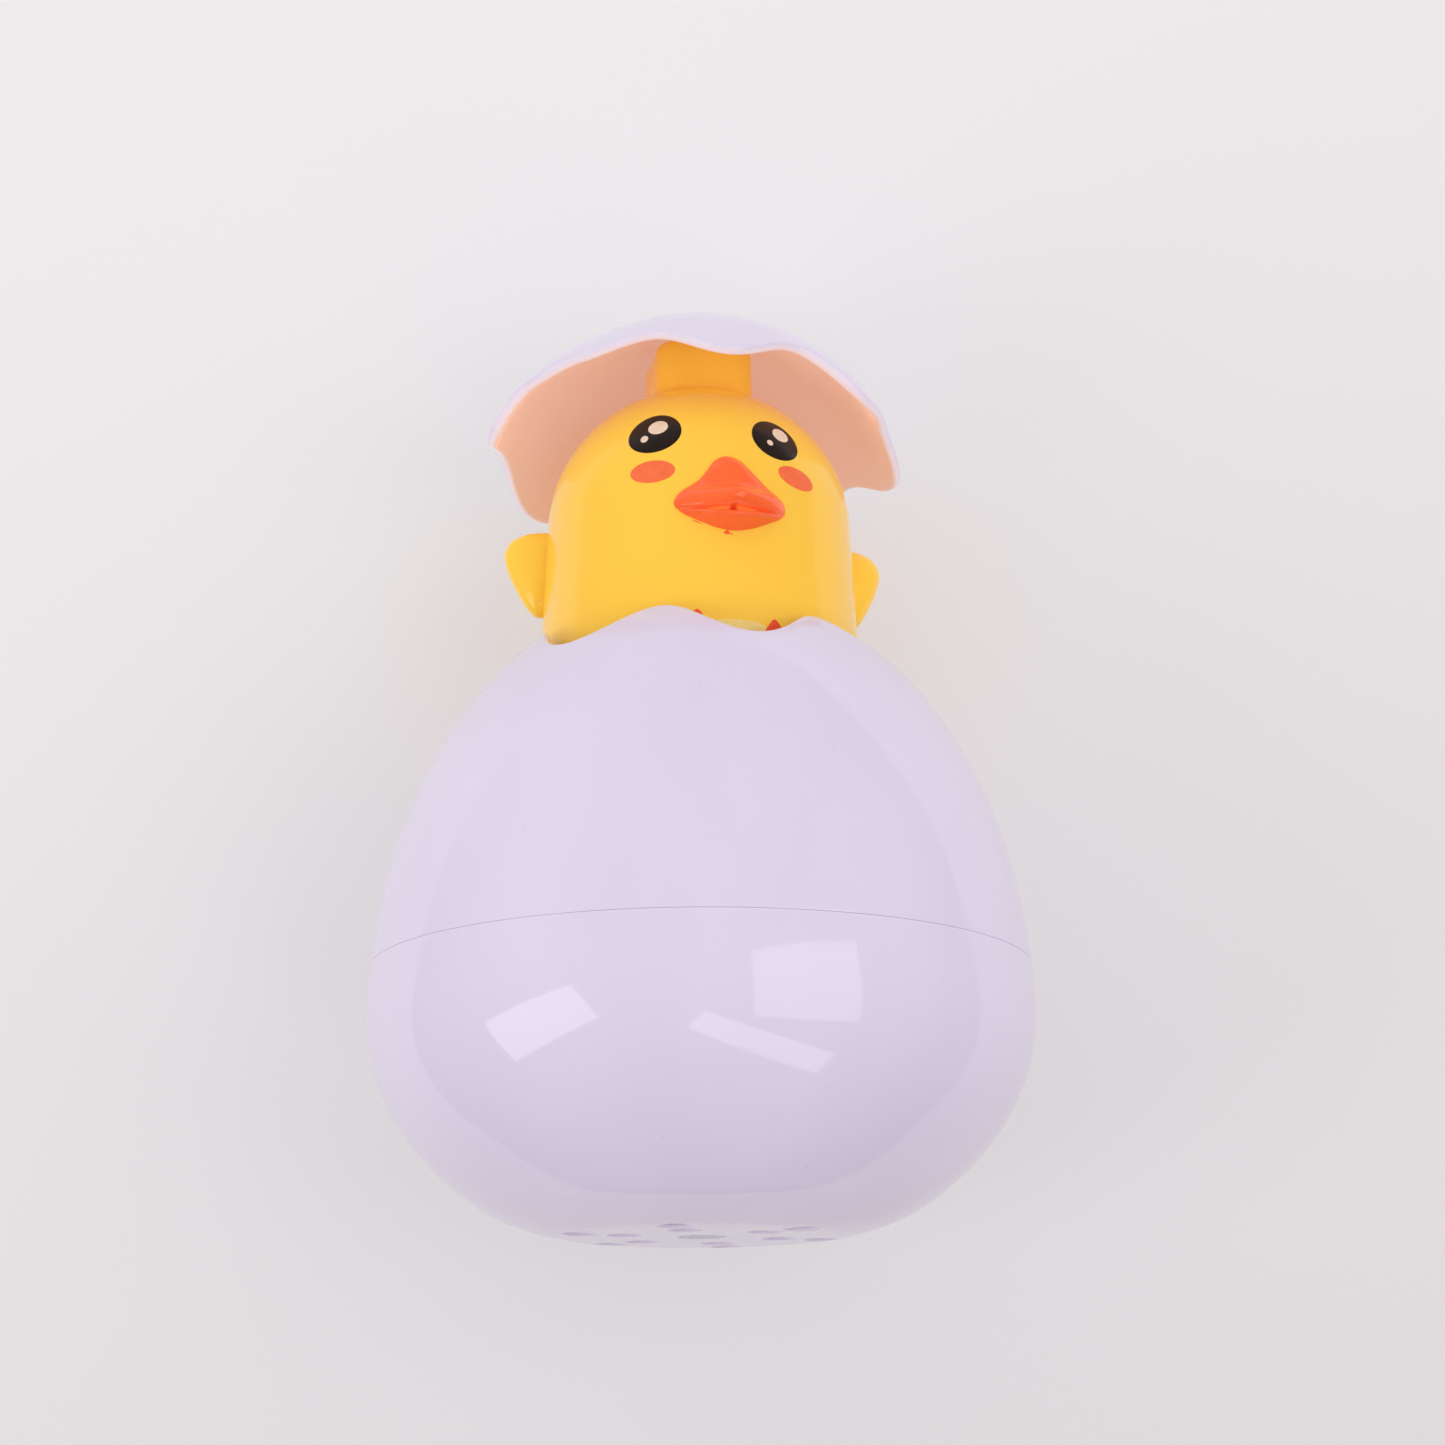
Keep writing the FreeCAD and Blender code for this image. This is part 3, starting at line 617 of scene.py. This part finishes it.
def beak_lift(u, v, inset):
    """How far the beak stands off the skin; inset is the distance in from its painted edge."""
    edge = min(1.0, inset / BEAK_EDGE_ROUND)
    body = edge * edge * (3 - 2 * edge)
    rise = BEAK_EDGE_RISE * math.sqrt(1 - (1 - edge) ** 2)
    across = (u - BEAK_MIDDLE[0]) / LIPS_HALF_WIDTH
    lips = max(0.0, 1 - across ** 2 - ((v - LIPS_MIDDLE) / LIPS_HALF_HEIGHT) ** 2)
    rise += LIPS_RISE * body * lips ** LIPS_POWER
    prow = max(0.0, PROW_RISE - PROW_SLOPE * math.hypot(u - PROW_MIDDLE, PROW_ROUND))
    above = v - mouth_line(u)
    if above >= 0:
        ridge = RIDGE_RISE * bump(u, BEAK_MIDDLE[0], RIDGE_HALF)
        ridge *= bump(v, RIDGE_HEIGHT, RIDGE_SPREAD)
        knob = KNOB_RISE * bump(u, KNOB_MIDDLE, KNOB_HALF) * bump(above, KNOB_ABOVE, KNOB_SPREAD)
        rise += (prow * bump(above, UPPER_LIP, UPPER_LIP_SPREAD) + knob + ridge) * body
    else:
        rise += LOWER_LIP_SHARE * prow * bump(above, LOWER_LIP, LOWER_LIP_SPREAD) * body
    along = min(1.0, max(0.0, (LINE_HALF - abs(u - BEAK_MIDDLE[0])) / LINE_RUN_OUT))
    groove = GROOVE_DEPTH * bump(above, 0.0, GROOVE_SPREAD) * along
    hole = max(PIN_HOLE, math.hypot(u - SLIT_MIDDLE, above))
    return rise - groove - PIN_HOLE_DEPTH * bump(hole, PIN_HOLE, PIN_HOLE_SLOPE)


def beak_piece():
    """The beak's swelling surface on the head, closed behind, under the skin."""
    middle = Vector(BEAK_MIDDLE)
    columns = []
    for point in closed_curve(BEAK_EDGE, BEAK_COLUMNS):
        reach = (point - middle).length
        column = []
        for share in steps(0, 1, BEAK_ROWS):
            u, v = middle + (point - middle) * share
            lift = beak_lift(u, v, reach * (1 - share)) - BEAK_SINK
            column.append(skin_point(u * skin_degrees(v), v, lift))
        for share in (1.0, 0.5, 0.0):
            u, v = middle + (point - middle) * share
            column.append(skin_point(u * skin_degrees(v), v, -BEAK_BACK))
        columns.append(column)
    return grid_mesh("beak", columns, sharp_angle=70)


def slit_share(spot):
    """1 where a beak point lies in the bare slit between the lips, and 0 elsewhere."""
    u = azimuth_of(spot) / skin_degrees(spot.z)
    along = (u - SLIT_MIDDLE) / SLIT_HALF
    if abs(along) >= 1 or math.hypot(spot.x, spot.y) < HEAD_RADIUS:
        return 0.0
    half = SLIT_RISE * (1 - along * along)
    away = abs(spot.z - mouth_line(u) - SLIT_ABOVE)
    return max(0.0, min(1.0, (half - away) / SLIT_BLUR + 0.5))


# ---- wings -----------------------------------------------------------------------------------

# the leaf's outline: distance out from the egg's axis, and height
WING_EDGE = [
    (20.6, 104.3), (23.2, 105.0), (26.3, 104.7), (28.5, 103.5), (29.4, 101.4), (28.7, 98.4),
    (27.2, 95.2), (25.6, 92.7), (24.2, 91.7), (22.4, 92.3), (20.6, 94.7), (20.0, 99.7),
]
WING_MIDDLE = (24.3, 100.0)
WING_COLUMNS = 96
WING_ROWS = 41
WING_HALF_THICKNESS = 2.8
WING_OUTLINE_POWER = 0.9
WING_FACE_POWER = 0.85


def wing_piece(name, side):
    """A leaf that is thickest in the middle and round at its edge, square to the body."""
    middle = Vector(WING_MIDDLE)
    turn = Matrix.Rotation(math.radians(side * WING_ANGLE), 4, "Z")
    columns = []
    for point in closed_curve(WING_EDGE, WING_COLUMNS):
        column = []
        for angle in steps(0, math.pi, WING_ROWS):
            share = math.sin(angle) ** WING_OUTLINE_POWER if angle not in (0, math.pi) else 0
            out, height = middle + (point - middle) * share
            thick = math.copysign(abs(math.cos(angle)) ** WING_FACE_POWER, math.cos(angle))
            spot = Vector((WING_HALF_THICKNESS * thick, -out, height)) * MM
            column.append(turn @ spot)
        columns.append(column)
    return grid_mesh(name, columns, sharp_angle=80)


# ---- materials -------------------------------------------------------------------------------

def node(tree, kind, **settings):
    item = tree.nodes.new(kind)
    for name, value in settings.items():
        setattr(item, name, value)
    return item


def new_material(name):
    material = bpy.data.materials.new(name)
    material.use_nodes = True
    tree = material.node_tree
    return material, tree, tree.nodes["Principled BSDF"]


def noise(tree, scale, detail=3.0, stretch=(1, 1, 1)):
    """Noise over the object's own coordinates, in metres."""
    coordinates = node(tree, "ShaderNodeTexCoord")
    mapping = node(tree, "ShaderNodeMapping")
    mapping.inputs["Scale"].default_value = stretch
    texture = node(tree, "ShaderNodeTexNoise")
    texture.inputs["Scale"].default_value = scale
    texture.inputs["Detail"].default_value = detail
    tree.links.new(coordinates.outputs["Object"], mapping.inputs["Vector"])
    tree.links.new(mapping.outputs["Vector"], texture.inputs["Vector"])
    return texture.outputs["Fac"]


def ramp(tree, value, stops):
    """A colour ramp over a value; stops are (position, colour)."""
    item = node(tree, "ShaderNodeValToRGB")
    elements = item.color_ramp.elements
    while len(elements) < len(stops):
        elements.new(0.5)
    for element, (position, colour) in zip(elements, stops):
        element.position = position
        element.color = (*colour, 1.0)
    tree.links.new(value, item.inputs["Fac"])
    return item.outputs["Color"]


def grey(value):
    return (value, value, value)


def shade(colour, factor):
    return tuple(min(1.0, channel * factor) for channel in colour)


def blended(tree, share, tone, colour, blend_type="MIX"):
    """A tone blended with one colour, by a share from 0 to 1."""
    mix = node(tree, "ShaderNodeMix", data_type="RGBA", blend_type=blend_type)
    tree.links.new(share, mix.inputs["Factor"])
    tree.links.new(tone, mix.inputs["A"])
    mix.inputs["B"].default_value = (*colour, 1)
    return mix.outputs["Result"]


def set_surface(tree, shader, tone, gloss, normal):
    """Link a shader's colour, its roughness unless that is even, and its bump."""
    tree.links.new(tone, shader.inputs["Base Color"])
    if gloss:
        tree.links.new(gloss, shader.inputs["Roughness"])
    tree.links.new(normal, shader.inputs["Normal"])


def relief(tree, height, strength, depth, under=None):
    """Bump from a height value, over a coarser bump if there is one; depth is in millimetres."""
    item = node(tree, "ShaderNodeBump")
    item.inputs["Strength"].default_value = strength
    item.inputs["Distance"].default_value = depth * MM
    tree.links.new(height, item.inputs["Height"])
    if under:
        tree.links.new(under, item.inputs["Normal"])
    return item.outputs["Normal"]


DUST = (0.55, 0.5, 0.46)


def moulded_plastic(name, colour, roughness):
    """Glossy moulded plastic: soft tone drift, flow ripple, fine orange peel and sparse dust."""
    material, tree, shader = new_material(name)
    drift = ramp(tree, noise(tree, 45, stretch=(1, 1, 0.4)),
                 [(0.3, shade(colour, 0.975)), (0.7, shade(colour, 1.02))])
    dust = ramp(tree, noise(tree, 1500, 1.0), [(0.765, grey(0.0)), (0.80, grey(0.22))])
    tone = blended(tree, dust, drift, DUST, "MULTIPLY")
    gloss = ramp(tree, noise(tree, 160, 4.0),
                 [(0.35, grey(roughness * 0.9)), (0.75, grey(roughness * 1.25))])
    ripple = relief(tree, noise(tree, 55, 2.0, stretch=(1, 1, 0.5)), 0.10, 0.4)
    peel = relief(tree, noise(tree, 900, 2.0), 0.06, 0.06, ripple)
    set_surface(tree, shader, tone, gloss, peel)
    shader.inputs["Specular IOR Level"].default_value = 0.42
    return material


def add_painted_glow(material, glow):
    """Painted glow: a faint even emission that stands in for light through thin moulded plastic and
    bounced light.
    """
    shader = material.node_tree.nodes["Principled BSDF"]
    shader.inputs["Emission Color"].default_value = (*glow, 1)
    shader.inputs["Emission Strength"].default_value = 1.0


def add_painted_glow_inside(material, glow, colour):
    """Painted glow standing in for light through the cap's thin wall: the inside attribute runs from
    0 on the outer face to 1 on the inner face, which is also painted with the chick's warm bounce
    light; glow is a list of stops."""
    tree = material.node_tree
    shader = tree.nodes["Principled BSDF"]
    mark = node(tree, "ShaderNodeAttribute", attribute_name="inside").outputs["Fac"]
    tone = shader.inputs["Base Color"].links[0].from_socket
    tree.links.new(blended(tree, mark, tone, colour), shader.inputs["Base Color"])
    tree.links.new(ramp(tree, mark, glow), shader.inputs["Emission Color"])
    shader.inputs["Emission Strength"].default_value = 1.0


def soft_tube(name, colour):
    """Slightly milky flexible tube."""
    material = moulded_plastic(name, colour, 0.3)
    shader = material.node_tree.nodes["Principled BSDF"]
    shader.inputs["Transmission Weight"].default_value = 0.5
    shader.inputs["IOR"].default_value = 1.45
    return material


def paint(name, colour, roughness, grain):
    """Sprayed or printed ink with a fine uneven grain."""
    material, tree, shader = new_material(name)
    tone = ramp(tree, noise(tree, grain, 4.0),
                [(0.3, shade(colour, 0.93)), (0.7, shade(colour, 1.05))])
    gloss = ramp(tree, noise(tree, grain * 2, 2.0),
                 [(0.3, grey(roughness * 0.85)), (0.7, grey(roughness * 1.2))])
    set_surface(tree, shader, tone, gloss, relief(tree, noise(tree, 1300, 2.0), 0.1, 0.05))
    shader.inputs["Specular IOR Level"].default_value = 0.35
    return material


def beak_paint(name, orange, bare):
    """Glossy orange paint with a faint painted glow, and bare yellow plastic where the slit
    attribute marks it.
    """
    material = paint(name, orange, 0.09, 500)
    add_painted_glow(material, BEAK_PAINTED_GLOW)
    tree = material.node_tree
    shader = tree.nodes["Principled BSDF"]
    shader.inputs["Specular IOR Level"].default_value = 0.6
    mark = node(tree, "ShaderNodeAttribute", attribute_name="slit").outputs["Fac"]
    tone = shader.inputs["Base Color"].links[0].from_socket
    tree.links.new(blended(tree, mark, tone, bare), shader.inputs["Base Color"])
    return material


def closed_cell_foam(name, colour):
    """White foam: small cells, with painted shade darkening their hollows."""
    material, tree, shader = new_material(name)
    cells = node(tree, "ShaderNodeTexVoronoi")
    cells.inputs["Scale"].default_value = 1400
    coordinates = node(tree, "ShaderNodeTexCoord")
    tree.links.new(coordinates.outputs["Object"], cells.inputs["Vector"])
    hollows = cells.outputs["Distance"]
    tone = ramp(tree, hollows, [(0.1, shade(colour, 0.8)), (0.5, colour)])
    set_surface(tree, shader, tone, None, relief(tree, hollows, 0.5, 0.3))
    shader.inputs["Roughness"].default_value = 0.85
    return material


def turned_steel(name, colour):
    """Stainless steel with fine turning marks and uneven polish."""
    material, tree, shader = new_material(name)
    tone = ramp(tree, noise(tree, 400, 4.0), [(0.3, shade(colour, 0.8)), (0.7, colour)])
    gloss = ramp(tree, noise(tree, 3000, 2.0, stretch=(1, 1, 8)),
                 [(0.3, grey(0.22)), (0.7, grey(0.42))])
    turning = noise(tree, 2500, 2.0, stretch=(1, 1, 6))
    set_surface(tree, shader, tone, gloss, relief(tree, turning, 0.15, 0.05))
    shader.inputs["Metallic"].default_value = 1.0
    return material


LAVENDER = (0.718, 0.658, 0.812)
YELLOW = (1.0, 0.59, 0.058)
ORANGE = (1.0, 0.13, 0.03)
CHEEK = (1.0, 0.17, 0.055)
DARK_INK = (0.016, 0.007, 0.004)
GLINT_INK = (0.88, 0.66, 0.50)
BELLY_CREAM = (1.0, 0.70, 0.22)
FOOT_RED = (1.0, 0.09, 0.02)
WHITE_PLASTIC = (0.85, 0.85, 0.83)
FOAM_WHITE = (0.9, 0.9, 0.87)
STEEL = (0.62, 0.62, 0.63)
CLEAR_TUBE = (0.85, 0.87, 0.86)
BARE_SLIT = (1.0, 0.36, 0.07)
# painted warm bounce light from the chick, on the cap's inner face
CAP_INSIDE_PAINTED_BOUNCE = (0.76, 0.62, 0.61)

# painted glow, an even emission standing in for light through the thin plastic and bounced light;
# for the cap, by the share of the way to its inner face
CHICK_PAINTED_GLOW = (0.05, 0.022, 0.003)
WING_PAINTED_GLOW = (0.10, 0.06, 0.003)
BEAK_PAINTED_GLOW = (0.09, 0.018, 0.005)
CAP_PAINTED_GLOW = [(0.0, (0.035, 0.03, 0.03)), (0.5, (0.20, 0.17, 0.18)), (1.0, (0.215, 0.125, 0.10))]

shell_plastic = moulded_plastic("shell_plastic", LAVENDER, 0.065)
cap_plastic = moulded_plastic("cap_plastic", LAVENDER, 0.12)
# painted glow on the cap, chick and wings; the cap's inner face is also painted with warm bounce
# light
add_painted_glow_inside(cap_plastic, CAP_PAINTED_GLOW, CAP_INSIDE_PAINTED_BOUNCE)
chick_plastic = moulded_plastic("chick_plastic", YELLOW, 0.16)
add_painted_glow(chick_plastic, CHICK_PAINTED_GLOW)
wing_plastic = moulded_plastic("wing_plastic", YELLOW, 0.18)
add_painted_glow(wing_plastic, WING_PAINTED_GLOW)
carrier_plastic = moulded_plastic("carrier_plastic", WHITE_PLASTIC, 0.45)
foam = closed_cell_foam("float_foam", FOAM_WHITE)
steel = turned_steel("screw_steel", STEEL)
tube_plastic = soft_tube("tube_plastic", CLEAR_TUBE)
orange_paint = beak_paint("beak_paint", ORANGE, BARE_SLIT)
speck_paint = paint("speck_paint", ORANGE, 0.3, 900)
cheek_ink = paint("cheek_ink", CHEEK, 0.24, 700)
dark_ink = paint("eye_ink", DARK_INK, 0.2, 600)
glint_ink = paint("glint_ink", GLINT_INK, 0.3, 900)
cream_ink = paint("belly_ink", BELLY_CREAM, 0.26, 600)
foot_ink = paint("foot_ink", FOOT_RED, 0.26, 700)


# ---- build the pieces ------------------------------------------------------------------------

upper = turned_mesh("egg_top", upper_shell_section, closed_rows=True)
finish_piece(upper, "egg", "shell", shell_plastic, "upper_shell")

lower = turned_mesh("egg_bottom", lower_shell_section)
cut_base_holes(lower)
finish_piece(lower, "egg", "shell", shell_plastic, "lower_shell")

cap = turned_mesh("egg_cap", cap_section)
mark_points(cap, "inside", inside_share)
finish_piece(cap, "chick", "shell", cap_plastic, "cap_shell")

skin = turned_mesh("chick_skin", chick_section)
finish_piece(skin, "chick", "chick", chick_plastic, "chick_body")

beak = beak_piece()
mark_points(beak, "slit", slit_share)
finish_piece(beak, "chick", "chick", orange_paint)

for side, node_name in ((1, "wing_left"), (-1, "wing_right")):
    leaf = wing_piece(f"{node_name}_leaf", side)
    finish_piece(leaf, "chick", "chick", wing_plastic, node_name)

# how far the ink stands off the skin
EYE_LIFT = 0.06
GLINT_LIFT = 0.09
SPECK_LIFT = 0.03

# ink on the head: name, azimuth, height, outline, lift, ink
INK = [
    ("eye_right", -28.1, 113.4, oval(4.05, 3.5), EYE_LIFT, dark_ink),
    ("eye_left", 21.6, 113.1, oval(3.9, 3.5), EYE_LIFT, dark_ink),
    ("eye_right_glint", -26.9, 114.35, oval(1.5, 1.25), GLINT_LIFT, glint_ink),
    ("eye_right_spark", -31.8, 112.45, oval(0.6, 0.6), GLINT_LIFT, glint_ink),
    ("eye_left_glint", 24.7, 114.2, oval(1.35, 1.2), GLINT_LIFT, glint_ink),
    ("eye_left_spark", 18.4, 112.3, oval(0.5, 0.5), GLINT_LIFT, glint_ink),
    ("cheek_right", -27.5, 106.8, oval(3.4, 1.75), EYE_LIFT, cheek_ink),
    ("cheek_left", 28.3, 107.2, oval(3.3, 1.65, 9), EYE_LIFT, cheek_ink),
]
for name, azimuth, height, outline, lift, ink in INK:
    finish_piece(ink_patch(name, azimuth, height, outline, lift), "chick", "chick", ink)

# belly print: a cream patch whose top edge just shows, and two foot tips at its sides
BELLY_OUTLINE = [(-3.4, 3.4), (-1.2, 3.75), (1.2, 3.75), (3.4, 3.4), (5.6, 1.6), (6.4, -1.2),
                 (5.2, -3.6), (2.2, -4.6), (-2.2, -4.6), (-5.2, -3.6), (-6.4, -1.2), (-5.6, 1.6)]
FOOT_OUTLINE = [(0.0, 2.0), (1.0, 0.9), (1.9, -0.8), (1.2, -1.9), (-1.2, -1.9), (-1.9, -0.8),
                (-1.0, 0.9)]
belly = ink_patch("belly_print", 2.4, 80.1, closed_curve(BELLY_OUTLINE, 96), EYE_LIFT)
finish_piece(belly, "chick", "chick", cream_ink)
for name, azimuth, height in (("foot_print_right", -11.2, 83.3), ("foot_print_left", 16.3, 82.5)):
    foot = ink_patch(name, azimuth, height, closed_curve(FOOT_OUTLINE, 56), GLINT_LIFT)
    finish_piece(foot, "chick", "chick", foot_ink)

# overspray below the beak: name, azimuth, height and outline
SPECKS = [
    ("overspray_side", -11.1, 98.55, [(-0.8, 0.25), (0.0, 0.1), (0.75, -0.35), (0.1, -0.1)]),
    ("overspray_low", 0.0, 96.95, [(-0.7, 0.1), (-0.1, 0.45), (0.15, 0.1), (0.75, -0.3),
                                   (0.1, -0.15), (-0.3, -0.25)]),
]
for name, azimuth, height, outline in SPECKS:
    patch = ink_patch(name, azimuth, height, closed_curve(outline, 32), SPECK_LIFT)
    finish_piece(patch, "chick", "chick", speck_paint)

# CAD pieces that stay get a detailed material
KEPT_NODES = {
    "guide_post": carrier_plastic, "carrier_plate": carrier_plastic, "foam_float": foam,
    "squirt_tube": tube_plastic, "post_screw": steel, "plate_screws": steel, "cap_screw": steel,
}
for name, material in KEPT_NODES.items():
    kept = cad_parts[name]
    kept.data.materials.clear()
    kept.data.materials.append(material)


# ---- stage, light and camera -----------------------------------------------------------------

# about the camera's heading; the backdrop, the room's light and the windows are turned by it
VIEW_TURN = -10.8
VIEW_FRAME = Matrix.Rotation(math.radians(VIEW_TURN), 3, "Z")

# a sheet of pale paper that leans over behind the toy, and the floor
BACKDROP_TILT = 11.1
BACKDROP_AWAY = 53.1
BACKDROP_LEFT = -222
BACKDROP_RIGHT = 280
BACKDROP_BOTTOM = -198
BACKDROP_TOP = 330
FLOOR_REACH = 900
PAPER = (0.80, 0.785, 0.80)
PAPER_BRIGHT = shade(PAPER, 1.1)
PAPER_DIM = (0.56, 0.5355, 0.546)
PAPER_FALL = (-0.35, 0, 1)
PAPER_FALL_START = -0.1
PAPER_FALL_END = 0.22

# the room's own light, brightest up behind the toy, and its dimmer mirror image
SKY_DIRECTION = (-0.3, 0.5, 0.8)
ROOM_LIGHT = [(0.0, (0.36, 0.32, 0.33)), (0.45, (0.86, 0.85, 0.86)), (1.0, (1.12, 1.12, 1.12))]
ROOM_MIRRORED = [(0.0, grey(0.06)), (0.5, grey(0.2)), (0.8, grey(0.28)), (0.92, grey(0.7))]


def stage_plane(name, corners, material):
    """A flat four-cornered stage surface."""
    mesh = bpy.data.meshes.new(name)
    mesh.from_pydata([Vector(corner) * MM for corner in corners], [], [(0, 1, 2, 3)])
    plane = bpy.data.objects.new(name, mesh)
    bpy.context.scene.collection.objects.link(plane)
    mesh.materials.append(material)
    return plane


def level_along(tree, coordinates, direction, start, end):
    """A value from 0 to 1 as the coordinates go from start to end along a direction."""
    along = node(tree, "ShaderNodeVectorMath", operation="DOT_PRODUCT")
    along.inputs[1].default_value = direction
    tree.links.new(coordinates, along.inputs[0])
    level = node(tree, "ShaderNodeMapRange")
    level.inputs["From Min"].default_value = start
    level.inputs["From Max"].default_value = end
    tree.links.new(along.outputs["Value"], level.inputs["Value"])
    return level.outputs["Result"]


def mixed_shader(tree, share, first, second):
    mix = node(tree, "ShaderNodeMixShader")
    tree.links.new(share, mix.inputs[0])
    tree.links.new(first, mix.inputs[1])
    tree.links.new(second, mix.inputs[2])
    return mix.outputs[0]


def stage_material(name, glow, albedo):
    """Pale matte paper that glows a little, less towards its low right, and is clear from behind."""
    material = bpy.data.materials.new(name)
    material.use_nodes = True
    tree = material.node_tree
    tree.nodes.remove(tree.nodes["Principled BSDF"])
    matte = node(tree, "ShaderNodeBsdfDiffuse")
    matte.inputs["Color"].default_value = (*shade(PAPER, albedo), 1)
    light = node(tree, "ShaderNodeEmission")
    light.inputs["Strength"].default_value = glow
    place_on_paper = node(tree, "ShaderNodeTexCoord").outputs["Object"]
    level = level_along(tree, place_on_paper, VIEW_FRAME @ Vector(PAPER_FALL),
                        PAPER_FALL_START, PAPER_FALL_END)
    tone = ramp(tree, level, [(0.0, PAPER_DIM), (1.0, PAPER_BRIGHT)])
    tree.links.new(tone, light.inputs["Color"])
    both = node(tree, "ShaderNodeAddShader")
    tree.links.new(matte.outputs[0], both.inputs[0])
    tree.links.new(light.outputs[0], both.inputs[1])
    behind = node(tree, "ShaderNodeNewGeometry").outputs["Backfacing"]
    clear = node(tree, "ShaderNodeBsdfTransparent").outputs[0]
    surface = mixed_shader(tree, behind, both.outputs[0], clear)
    tree.links.new(surface, tree.nodes["Material Output"].inputs["Surface"])
    return material


def backdrop_point(across, height):
    """A point on the tilted backdrop behind the toy, square to the camera's heading."""
    tilt = math.radians(BACKDROP_TILT)
    depth = (BACKDROP_AWAY - height * math.sin(tilt)) / math.cos(tilt)
    return VIEW_FRAME @ Vector((across, depth, height))


stage_plane("backdrop",
            [backdrop_point(BACKDROP_LEFT, BACKDROP_BOTTOM),
             backdrop_point(BACKDROP_RIGHT, BACKDROP_BOTTOM),
             backdrop_point(BACKDROP_RIGHT, BACKDROP_TOP),
             backdrop_point(BACKDROP_LEFT, BACKDROP_TOP)],
            stage_material("backdrop_paper", 0.51, 0.54))
floor = stage_plane("floor",
                    [(-FLOOR_REACH, -FLOOR_REACH, 0), (FLOOR_REACH, -FLOOR_REACH, 0),
                     (FLOOR_REACH, FLOOR_REACH, 0), (-FLOOR_REACH, FLOOR_REACH, 0)],
                    stage_material("floor_paper", 0.55, 0.5))
for kind in ("diffuse", "glossy", "transmission", "shadow"):
    setattr(floor, f"visible_{kind}", False)


def background(tree, colour):
    """A world shader of one colour, or of a colour socket."""
    shader = node(tree, "ShaderNodeBackground")
    if isinstance(colour, tuple):
        shader.inputs["Color"].default_value = (*colour, 1)
    else:
        tree.links.new(colour, shader.inputs["Color"])
    return shader.outputs[0]


def soft_world():
    """The room: plain and pale to the camera, a soft gradient for the light it gives, and dim in
    what gloss mirrors, so that the windows show."""
    world = bpy.data.worlds.new("room")
    bpy.context.scene.world = world
    world.use_nodes = True
    tree = world.node_tree
    direction = node(tree, "ShaderNodeTexCoord").outputs["Generated"]
    sky = VIEW_FRAME @ Vector(SKY_DIRECTION).normalized()
    level = level_along(tree, direction, sky, -1.0, 1.0)
    lit = background(tree, ramp(tree, level, ROOM_LIGHT))
    mirrored = background(tree, ramp(tree, level, ROOM_MIRRORED))
    path = node(tree, "ShaderNodeLightPath")
    room = mixed_shader(tree, path.outputs["Is Glossy Ray"], lit, mirrored)
    seen = mixed_shader(tree, path.outputs["Is Camera Ray"], room, background(tree, PAPER))
    tree.links.new(seen, tree.nodes["World Output"].inputs["Surface"])


WINDOW_AWAY = 700
EGG_MIDDLE = Vector((0, 0, 45)) * MM


def softbox(name, azimuth, elevation, width, height, roll, radiance):
    """A soft area light that faces the egg. Its place and size are angles in degrees as seen from
    the egg, and its azimuth starts at the stage's front, VIEW_TURN."""
    light = bpy.data.lights.new(name, "AREA")
    light.shape = "RECTANGLE"
    light.size = 2 * WINDOW_AWAY * math.tan(math.radians(width / 2)) * MM
    light.size_y = 2 * WINDOW_AWAY * math.tan(math.radians(height / 2)) * MM
    light.energy = radiance * math.pi * light.size * light.size_y
    lamp = bpy.data.objects.new(name, light)
    bpy.context.scene.collection.objects.link(lamp)
    rise = math.radians(elevation)
    spot = VIEW_FRAME @ place(azimuth, WINDOW_AWAY * math.cos(rise), WINDOW_AWAY * math.sin(rise))
    lamp.location = EGG_MIDDLE + spot
    aim = (-spot).to_track_quat("-Z", "Y").to_matrix()
    lamp.rotation_euler = (aim @ Matrix.Rotation(math.radians(roll), 3, "Z")).to_euler()


soft_world()

# name, azimuth, elevation, width, height, roll and radiance
softbox("window_left", -55, -18, 36, 20, 18, 2.6)
softbox("window_right", 35, -5, 36, 34, 4, 1.9)
softbox("window_low", 22, -35, 46, 11, -22, 2.2)

CAMERA_PLACE = (-67.3, -366.9, -30.9)
CAMERA_PITCH = 15.9
CAMERA_HEADING = -10.91
CAMERA_ROLL = -0.41
CAMERA_LENS = 64.94
SENSOR_WIDTH = 36.0

camera_data = bpy.data.cameras.new("camera")
camera_data.lens = CAMERA_LENS
camera_data.sensor_width = SENSOR_WIDTH
camera = bpy.data.objects.new("camera", camera_data)
bpy.context.scene.collection.objects.link(camera)
camera.matrix_world = (
    Matrix.Translation(Vector(CAMERA_PLACE) * MM)
    @ Matrix.Rotation(math.radians(CAMERA_HEADING), 4, "Z")
    @ Matrix.Rotation(math.radians(90 + CAMERA_PITCH), 4, "X")
    @ Matrix.Rotation(math.radians(CAMERA_ROLL), 4, "Z"))
bpy.context.scene.camera = camera
bpy.context.scene.view_settings.view_transform = "Standard"
